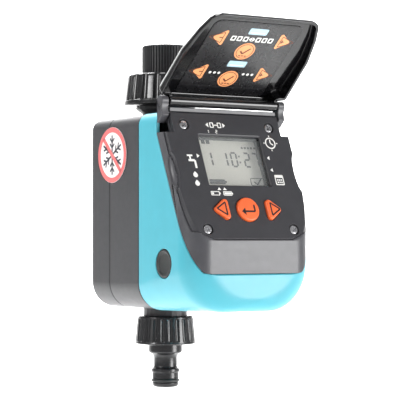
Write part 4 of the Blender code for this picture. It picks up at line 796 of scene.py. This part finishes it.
def lid():
    hinge_end = -BARREL_RADIUS
    edge, most = 5.6 * MM, 5.0 * MM
    rings = [[(x, y, 0.5 * MM) for x, y in lid_outline(0.0, hinge_end)]]
    for angle in range(0, 91, 9):
        turn = math.radians(angle)
        inset = min(edge - edge * math.cos(turn), most)
        height = -(LID_BACK - edge + edge * math.sin(turn))
        rings.append([(x, y, height) for x, y in lid_outline(inset, hinge_end)])
    made = loft("lid_shell", rings, LID_FRAME)
    rim = [(-10, 5), (-10, -0.5), (4, -0.9), (90, -5.2), (90, 5)]
    rim = [(x * MM, y * MM) for x, y in rim]
    lid_side = frame_matrix(Vector(), Vector((0, 1, 0)), Vector((0, 0, 1)), ACROSS)
    rings = []
    for above, inset in ((13.0, 0.0), (1.6, 0.0), (0.9, 0.12), (0.4, 0.4), (0.1, 0.8), (0.0, 1.2)):
        outline = lid_outline(LID_WALL + inset * MM, hinge_end)
        rings.append([(x, y, above * MM - LID_FLOOR) for x, y in outline])
    reach = 36.9 * MM
    steps = [
        ("-", slab("rim", rim, -60 * MM, 60 * MM, LID_FRAME @ lid_side)),
        ("-", loft("room", rings, LID_FRAME)),
        ("+", rod("barrel", BARREL_RADIUS, hinge_point(-reach), hinge_point(reach), sides=64)),
        ("-", rod("barrel_way", ROD_RADIUS + GAP, hinge_point(-45 * MM), hinge_point(45 * MM))),
    ]
    piece(carve(made, steps), "lid_leaf", GLOSS_BLACK, "lid", "lid", edge=0.35 * MM)


# ---------------------------------------------------------------- water fittings


def flutes(count, radius, low, high):
    runs = []
    for index in range(count):
        turn = Matrix.Rotation(2.0 * math.pi * (index + 0.5) / count, 4, "Z")
        runs.append((turn @ Vector((low[0], 0.0, low[1])), turn @ Vector((high[0], 0.0, high[1])), radius))
    return bars("flutes", runs)


def inlet():
    profile = [
        (16.6 * MM, -17.6 * MM),
        (20.5 * MM, -17.6 * MM),
        (21.5 * MM, -17.85 * MM),
        (22.2 * MM, -18.3 * MM),
        (22.7 * MM, -19.0 * MM),
        (23.0 * MM, -20.0 * MM),
        (24.6 * MM, -33.4 * MM),
        (25.2 * MM, -33.8 * MM),
        (25.2 * MM, -36.0 * MM),
        (24.9 * MM, -36.5 * MM),
        (24.4 * MM, -36.8 * MM),
        (12.3 * MM, -36.8 * MM),
        (12.3 * MM, -33.0 * MM),
        (16.6 * MM, -33.0 * MM),
    ]
    nut = turned("inlet_collar", profile, hollow=True, steps=160)
    tool = flutes(TAP_FLUTES, 2.3 * MM, (25.9 * MM, -33.3 * MM), (24.1 * MM, -18.3 * MM))
    piece(carve(nut, [("-", tool)]), "tap_collar", NUT_BLACK, "nut", "tap_nut", edge=0.3 * MM)

    groove = 0.7 * MM
    rings = []
    for height, radius in ((-0.05, 13.0), (-0.35, 13.7), (-1.0, 14.2), (-17.9, 14.2)):
        ring = []
        for k in range(ADAPTOR_RIBS * 6):
            angle = 2.0 * math.pi * k / (ADAPTOR_RIBS * 6)
            dip = groove * max(0.0, math.cos(angle * ADAPTOR_RIBS)) ** 0.7
            reach = radius * MM - dip
            ring.append((reach * math.cos(angle), reach * math.sin(angle), height * MM))
        rings.append(ring)
    foot = [(0.0, -17.5), (13.0, -17.5), (14.3, -17.9), (16.2, -18.2), (16.2, -27.6), (0.0, -27.6)]
    bore = [(0.0, 2.0), (11.2, 2.0), (11.2, 0.0), (10.4, -0.8), (10.4, -14.5), (7.5, -14.5), (7.5, -30.0), (0.0, -30.0)]
    steps = [
        ("+", turned("foot", [(r * MM, z * MM) for r, z in foot])),
        ("-", turned("bore", [(r * MM, z * MM) for r, z in bore])),
    ]
    made = carve(loft("ribbed_adaptor", rings), steps)
    piece(made, "casing", RIB_BLACK, "inner", "tap_adaptor", edge=0.0)


def outlet():
    profile = [
        (13.5 * MM, -162.8 * MM),
        (15.9 * MM, -162.8 * MM),
        (16.5 * MM, -163.1 * MM),
        (16.8 * MM, -163.6 * MM),
        (18.2 * MM, -178.4 * MM),
        (18.4 * MM, -179.2 * MM),
        (18.2 * MM, -179.7 * MM),
        (17.6 * MM, -180.0 * MM),
        (10.6 * MM, -180.0 * MM),
        (10.6 * MM, -177.5 * MM),
        (13.5 * MM, -177.5 * MM),
    ]
    nut = turned("outlet_collar", profile, hollow=True, steps=192)
    tool = flutes(HOSE_FLUTES, 1.45 * MM, (19.0 * MM, -177.6 * MM), (17.6 * MM, -164.6 * MM))
    piece(carve(nut, [("-", tool)]), "hose_collar", NUT_BLACK, "nut", "hose_nut", edge=0.25 * MM)

    profile = [
        (4.5, -174.7), (12.8, -174.7), (12.8, -177.2), (10.3, -177.2), (10.3, -184.6), (9.9, -185.2),
        (8.9, -185.7), (8.2, -186.3), (7.5, -187.2), (7.15, -188.2), (7.15, -193.3), (7.45, -193.9),
        (8.0, -194.4), (8.75, -195.0), (8.75, -196.6), (8.2, -197.0), (8.2, -200.6), (6.0, -200.6),
        (6.0, -203.2), (8.1, -203.2), (8.1, -204.4), (7.8, -205.1), (7.4, -205.6), (6.4, -206.0), (4.5, -206.0),
    ]
    made = turned("hose_tail", [(r * MM, z * MM) for r, z in profile], hollow=True)
    piece(made, "casing", NUT_BLACK, "nut", "hose_nipple", edge=0.2 * MM)
    ring = [(7.45 * MM + 1.1 * MM * math.cos(a), -201.9 * MM + 1.1 * MM * math.sin(a))
            for a in (math.radians(-step) for step in range(0, 360, 20))]
    piece(turned("tail_ring", ring, hollow=True), "casing", RUBBER, "seal", "nipple_o_ring", edge=0.0)


# ---------------------------------------------------------------- printed marks


def printed(name, body, place, base, paint, slot, shapes):
    """Thin ink on a surface. A shape is one outline in mm, or an outer and an inner outline with equal counts."""
    work = bmesh.new()
    for shape in shapes:
        top = base + PRINT_DEPTH
        if isinstance(shape, tuple):
            outer, inner = ([(x * MM, y * MM) for x, y in ring] for ring in shape)
            rings = [
                [(x, y, base) for x, y in outer],
                [(x, y, top) for x, y in outer],
                [(x, y, top) for x, y in inner],
                [(x, y, base) for x, y in inner],
            ]
            add_loft(work, rings, closed=True)
        else:
            add_loft(work, [[(x * MM, y * MM, height) for x, y in shape] for height in (base, top)])
    return piece(made_from(name, work, place), body, paint, slot, edge=0.0)


def stroke(start, end, width):
    """Straight bar between two points."""
    start, end = Vector(start), Vector(end)
    across = (end - start).normalized().orthogonal() * width / 2.0
    return [tuple(start - across), tuple(end - across), tuple(end + across), tuple(start + across)]


def path(points, width):
    return [stroke(a, b, width) for a, b in zip(points, points[1:])]


def arrowhead(x, y, reach, half):
    """Solid triangle with its tip towards +x, or -x for a negative reach."""
    return [(x + reach, y), (x, y + half), (x, y - half)]


def framed(corners, radius, width):
    """Outline band of a rounded polygon, given in mm."""
    radii = (radius * MM,) * len(corners)
    metres = [(x * MM, y * MM) for x, y in corners]
    outer = rounded(metres, radii, 0.0, 6)
    inner = rounded(metres, radii, width * MM, 6)
    return ([(x / MM, y / MM) for x, y in outer], [(x / MM, y / MM) for x, y in inner])


def filled(corners, radius):
    return framed(corners, radius, 0.1)[0]


def ring(x, y, radius, width):
    return (circle(radius, (x, y)), circle(radius - width, (x, y)))


def tick(x, y, size, width):
    """Check mark."""
    return path([(x - size, y), (x - size * 0.3, y - size * 0.7), (x + size, y + size * 0.8)], width)


SEGMENTS = {  # ends of each display segment, in half widths and quarter heights
    "a": ((-1, 2), (1, 2)), "b": ((1, 2), (1, 0)), "c": ((1, 0), (1, -2)), "d": ((-1, -2), (1, -2)),
    "e": ((-1, 0), (-1, -2)), "f": ((-1, 2), (-1, 0)), "g": ((-1, 0), (1, 0)),
}
LIT = {"0": "abcdef", "1": "bc", "2": "abged", "7": "abc"}


def digit(character, x, y, width, height, weight):
    shapes = []
    for name in LIT[character]:
        start, end = (Vector((u * width / 2.0, v * height / 4.0)) for u, v in SEGMENTS[name])
        trim = (end - start).normalized() * weight * 0.35
        centre = Vector((x, y))
        shapes.append(stroke(centre + start + trim, centre + end - trim, weight))
    return shapes


def display_marks():
    ink = []
    for character, x in (("1", -11.6), ("1", -1.2), ("0", 5.6), ("2", 14.6), ("7", 20.4)):
        ink += digit(character, x, -17.2, 3.6, 8.6, 1.15)
    ink += [box_corners(8.9, 10.0, y, y + 1.1) for y in (-15.6, -19.4)]
    ink += [box_corners(x, x + 2.5, -7.7, -4.7) for x in (-14.5, -11.3)]
    ink.append(filled(box_corners(-15.0, -4.2, -33.0, -29.9), 0.8))
    ink.append(box_corners(-4.2, -3.3, -32.2, -30.7))
    ink += [box_corners(x, x + 1.3, -10.2, -8.9) for x in (12.2, 14.4, 16.6, 18.8, 21.0)]
    ink += tick(18.6, -31.0, 2.6, 0.9)
    ink.append(framed(box_corners(13.4, 23.4, -33.6, -28.6), 1.0, 0.45))
    printed("display_marks", "control_module", PANEL, -DISPLAY_DEPTH + 0.01 * MM, DISPLAY_INK, "display", ink)


def drop(x, y, size):
    """Water drop outline, its point up."""
    points = [(x, y + size * 1.5)]
    for step in range(13):
        angle = math.radians(150.0 + 240.0 * step / 12.0)
        points.append((x + size * math.cos(angle), y + size * math.sin(angle)))
    return points


def plate_marks():
    ink = []
    # above the display: two pages between small arrows, and the numbers 1 and 2
    ink += [arrowhead(-13.0, 0.2, -1.8, 1.5), arrowhead(-3.2, 0.2, 1.8, 1.5)]
    ink += [framed(box_corners(x, x + 2.6, -1.5, 1.9), 0.5, 0.55) for x in (-12.0, -6.8)]
    ink += path([(-9.2, 0.2), (-7.0, 0.2)], 0.6)
    ink += digit("1", -14.2, -3.9, 0.9, 1.9, 0.45) + digit("2", -8.4, -3.9, 1.1, 1.9, 0.4)
    # right of the display: a clock, a pointer, a pointer and a calendar
    ink.append(ring(27.6, -10.0, 3.6, 0.7))
    ink += path([(27.6, -7.6), (27.6, -10.0), (29.4, -11.2)], 0.7)
    ink += [stroke((27.6 + u, -10.0 + v), (27.6 + 1.25 * u, -10.0 + 1.25 * v), 0.5) for u, v in
            ((4.0, 0.0), (-4.0, 0.0), (0.0, 4.0), (0.0, -4.0))]
    ink += [arrowhead(24.3, -19.6, -1.7, 1.2), arrowhead(24.6, -27.2, -1.7, 1.2)]
    ink.append(framed(box_corners(24.6, 30.6, -36.6, -30.2), 0.7, 0.6))
    ink.append(box_corners(24.8, 30.4, -32.0, -30.6))
    ink += [box_corners(x, x + 0.9, y, y + 0.9) for x in (25.9, 27.2, 28.5) for y in (-35.3, -33.8)]
    # left of the display: a pointer, and drops falling from a tap
    ink.append(arrowhead(-25.6, -19.5, 1.8, 1.3))
    ink += [drop(-29.4, y, 1.5) for y in (-31.4, -36.6)]
    ink += path([(-31.8, -22.4), (-27.6, -22.4), (-27.6, -27.2)], 1.3)
    ink += path([(-30.4, -22.4), (-30.4, -19.6)], 1.0) + path([(-32.2, -19.4), (-28.6, -19.4)], 1.0)
    # below the display: two pointers over a low and a full battery
    ink += [[(x - 1.3, -40.4), (x + 1.3, -40.4), (x, -38.8)] for x in (-15.7, -12.0)]
    for x, level in ((-21.9, 1.2), (-13.6, 4.4)):
        ink.append(framed(box_corners(x, x + 5.8, -43.8, -41.2), 0.4, 0.45))
        ink.append(box_corners(x + 0.7, x + 0.7 + level, -43.1, -41.9))
        ink.append(box_corners(x + 5.8, x + 6.4, -43.0, -42.0))
    printed("plate_marks", "control_module", PANEL, 0.005 * MM, WHITE_INK, "plate", ink)


def key_marks():
    top = KEY_RISE + 0.005 * MM
    row = KEY_ROW / MM
    arrow = [(14.9, row - 4.7), (22.3, row), (14.9, row + 4.7)]
    for name, corners in (("plus", arrow), ("minus", mirrored_x(arrow))):
        printed(f"{name}_mark", f"{name}_key", PANEL, top, KEY_INK, "key", [framed(corners, 0.7, 0.9)])
    bent = [(-3.8, row - 1.6), (3.8, row - 1.6), (3.8, row + 2.4)]
    marks = path(bent, 1.1) + [arrowhead(-2.6, row - 1.6, -2.6, 2.2)]
    printed("enter_mark", "enter_key", PANEL, top, KEY_INK, "key", marks)


def lid_marks():
    base = -LID_FLOOR + 0.36 * MM
    edge = [(-29.2, 6.3), (29.2, 6.3), (29.2, 56.2), (-29.2, 56.2)]
    orange, brown, white, blue = [], [], [], []
    for e in (44.4, 17.6):
        arrow = [(17.8, e - 6.6), (26.4, e), (17.8, e + 6.6)]
        for corners in (arrow, mirrored_x(arrow)):
            orange.append(filled(corners, 1.0))
            inner = [(x + math.copysign(1.5 if abs(x) < 20.0 else -3.0, x), e + (y - e) * 0.66) for x, y in corners]
            brown.append(framed(inner, 0.5, 0.45))
        for side in (-1, 1):
            brown += path([(side * 20.6 - 1.3, e), (side * 20.6 + 1.3, e)], 0.7)
        brown += path([(20.6, e - 1.3), (20.6, e + 1.3)], 0.7)
    for e in (35.2, 9.4 + 3.6):
        orange.append(circle(6.4, (0.0, e)))
        brown.append(ring(0.0, e, 5.5, 0.4))
        brown += tick(0.0, e, 2.9, 1.0)
        brown += [box_corners(x, x + 1.4, e - 4.0, e - 3.2) for x in (-2.6, -0.7, 1.2)]
    # blue pages, then white rows of small symbols
    for x, e in ((1.4, 50.6), (0.2, 25.0)):
        blue.append(filled(box_corners(x - 6.2, x + 6.2, e - 2.3, e + 2.3), 0.8))
        white += path([(x - 4.6, e - 0.9), (x + 4.6, e - 0.9)], 0.5)
    for x in (-12.6, -8.4, -4.2, 4.2, 8.4, 12.6):
        white.append(framed(box_corners(x - 1.6, x + 1.6, 42.8, 46.4), 0.5, 0.75))
    white += [arrowhead(-0.3, 44.6, -1.8, 1.7), arrowhead(0.3, 44.6, 1.8, 1.7)]
    for x in (-14.4, -11.4, -8.4, 8.4, 11.4, 14.4):
        white.append(circle(0.9, (x, 17.4), 20))
    printed("lid_symbols", "lid_leaf", LID_FRAME, base, ORANGE_INK, "film", orange)
    printed("lid_symbol_lines", "lid_leaf", LID_FRAME, base + PRINT_DEPTH, BROWN_INK, "film", brown)
    printed("lid_pages", "lid_leaf", LID_FRAME, base, BLUE_INK, "film", blue)
    printed("lid_small_marks", "lid_leaf", LID_FRAME, base + PRINT_DEPTH, WHITE_INK, "film", white)
    printed("lid_border", "lid_leaf", LID_FRAME, base, RIB_BLACK, "film", [framed(edge, 3.0, 0.35)])


def sticker():
    """Round sticker: a frost star struck out by a red ring and bar."""
    wall = CASE_HALF_WIDTH - REAR_STEP
    base = wall + 0.1 * MM
    disc = slab("side_sticker", circle(16.3 * MM, sides=96), base, wall + 0.3 * MM, LEFT_FACE)
    piece(disc, "casing", STICKER_WHITE, "sticker", "side_label", edge=0.0)
    star = []
    for arm in range(6):
        turn = Matrix.Rotation(math.radians(60.0 * arm), 2)
        star.append(stroke(turn @ Vector((0.0, 0.4)), turn @ Vector((0.0, 11.6)), 1.3))
        for root in (4.2, 7.4):
            for side in (-1, 1):
                star.append(stroke(turn @ Vector((0.0, root)), turn @ Vector((side * 2.5, root + 2.5)), 1.1))
    printed("sticker_star", "casing", LEFT_FACE, wall + 0.3 * MM, STICKER_DARK, "sticker", star)
    bar = [stroke((-9.9, 9.9), (9.9, -9.9), 2.6), ring(0.0, 0.0, 16.2, 2.9)]
    printed("sticker_ring", "casing", LEFT_FACE, wall + 0.34 * MM, STICKER_RED, "sticker", bar)


# ---------------------------------------------------------------- stage


def plain(name, colour, strength=0.9):
    made = bpy.data.materials.new(name)
    made.use_nodes = True
    shader = made.node_tree.nodes["Principled BSDF"]
    shader.inputs["Base Color"].default_value = (*(c * strength for c in colour), 1.0)
    shader.inputs["Roughness"].default_value = 0.9
    return made


def soft_light(name, place, aim, size, power, colour=(1.0, 1.0, 1.0)):
    lamp = bpy.data.lights.new(name, "AREA")
    lamp.shape = "DISK"
    lamp.size = size
    lamp.energy = power
    lamp.color = colour
    made = bpy.data.objects.new(name, lamp)
    bpy.context.scene.collection.objects.link(made)
    made.location = place
    made.rotation_euler = (Vector(place) - Vector(aim)).to_track_quat("Z", "Y").to_euler()


def stage():
    sweep = []
    for step in range(13):
        angle = math.radians(90.0 * step / 12.0)
        sweep.append((2.2 + 0.9 * math.sin(angle), -0.42 + 0.9 * (1.0 - math.cos(angle))))
    sweep = [(-4.0, -0.42), *sweep, (3.1, 4.0), (3.15, 4.0), (3.15, -0.5), (-4.0, -0.5)]
    heading = Matrix.Rotation(math.radians(-33.14), 4, "Z")
    upright = frame_matrix(Vector(), Vector((0, 1, 0)), Vector((0, 0, 1)), ACROSS)
    floor = slab("pale_sweep", sweep, -5.0, 5.0, heading @ upright)
    floor.data.shade_smooth()
    floor.data.set_sharp_from_angle(angle=SHARP)
    floor.data.materials.append(plain("pale_sweep", (1.0, 1.0, 1.0)))
    world = bpy.data.worlds.new("studio")
    bpy.context.scene.world = world
    world.use_nodes = True
    sky = world.node_tree.nodes["Background"]
    sky.inputs["Color"].default_value = (1.0, 1.0, 1.0, 1.0)
    sky.inputs["Strength"].default_value = 0.42
    middle = (0.0, -0.04, -0.1)
    soft_light("front_softbox", (1.0, -1.5, -0.1), middle, 0.9, 26.0)
    soft_light("left_softbox", (-1.6, -0.2, 0.5), middle, 0.5, 14.0)
    soft_light("top_softbox", (-0.1, 0.2, 1.5), middle, 0.7, 14.0)
    soft_light("backdrop_lamp", (0.3, 1.2, 1.6), (1.6, 2.4, -0.3), 1.5, 260.0)


def camera():
    heading = math.radians(-33.14)
    lens = bpy.data.cameras.new("camera")
    lens.lens = 154.54
    lens.sensor_width = 36.0
    lens.shift_y = 0.1023
    lens.clip_end = 20.0
    made = bpy.data.objects.new("camera", lens)
    bpy.context.scene.collection.objects.link(made)
    made.location = (-0.5504, -0.8813, -0.1178)
    made.rotation_euler = (math.radians(90.0), 0.0, heading)
    bpy.context.scene.camera = made
    bpy.context.scene.view_settings.view_transform = "Standard"


paint_cad_nodes()
casing()
screws()
module_shell()
face_plate()
key_pads()
lid()
inlet()
outlet()
display_marks()
plate_marks()
key_marks()
lid_marks()
sticker()
stage()
camera()
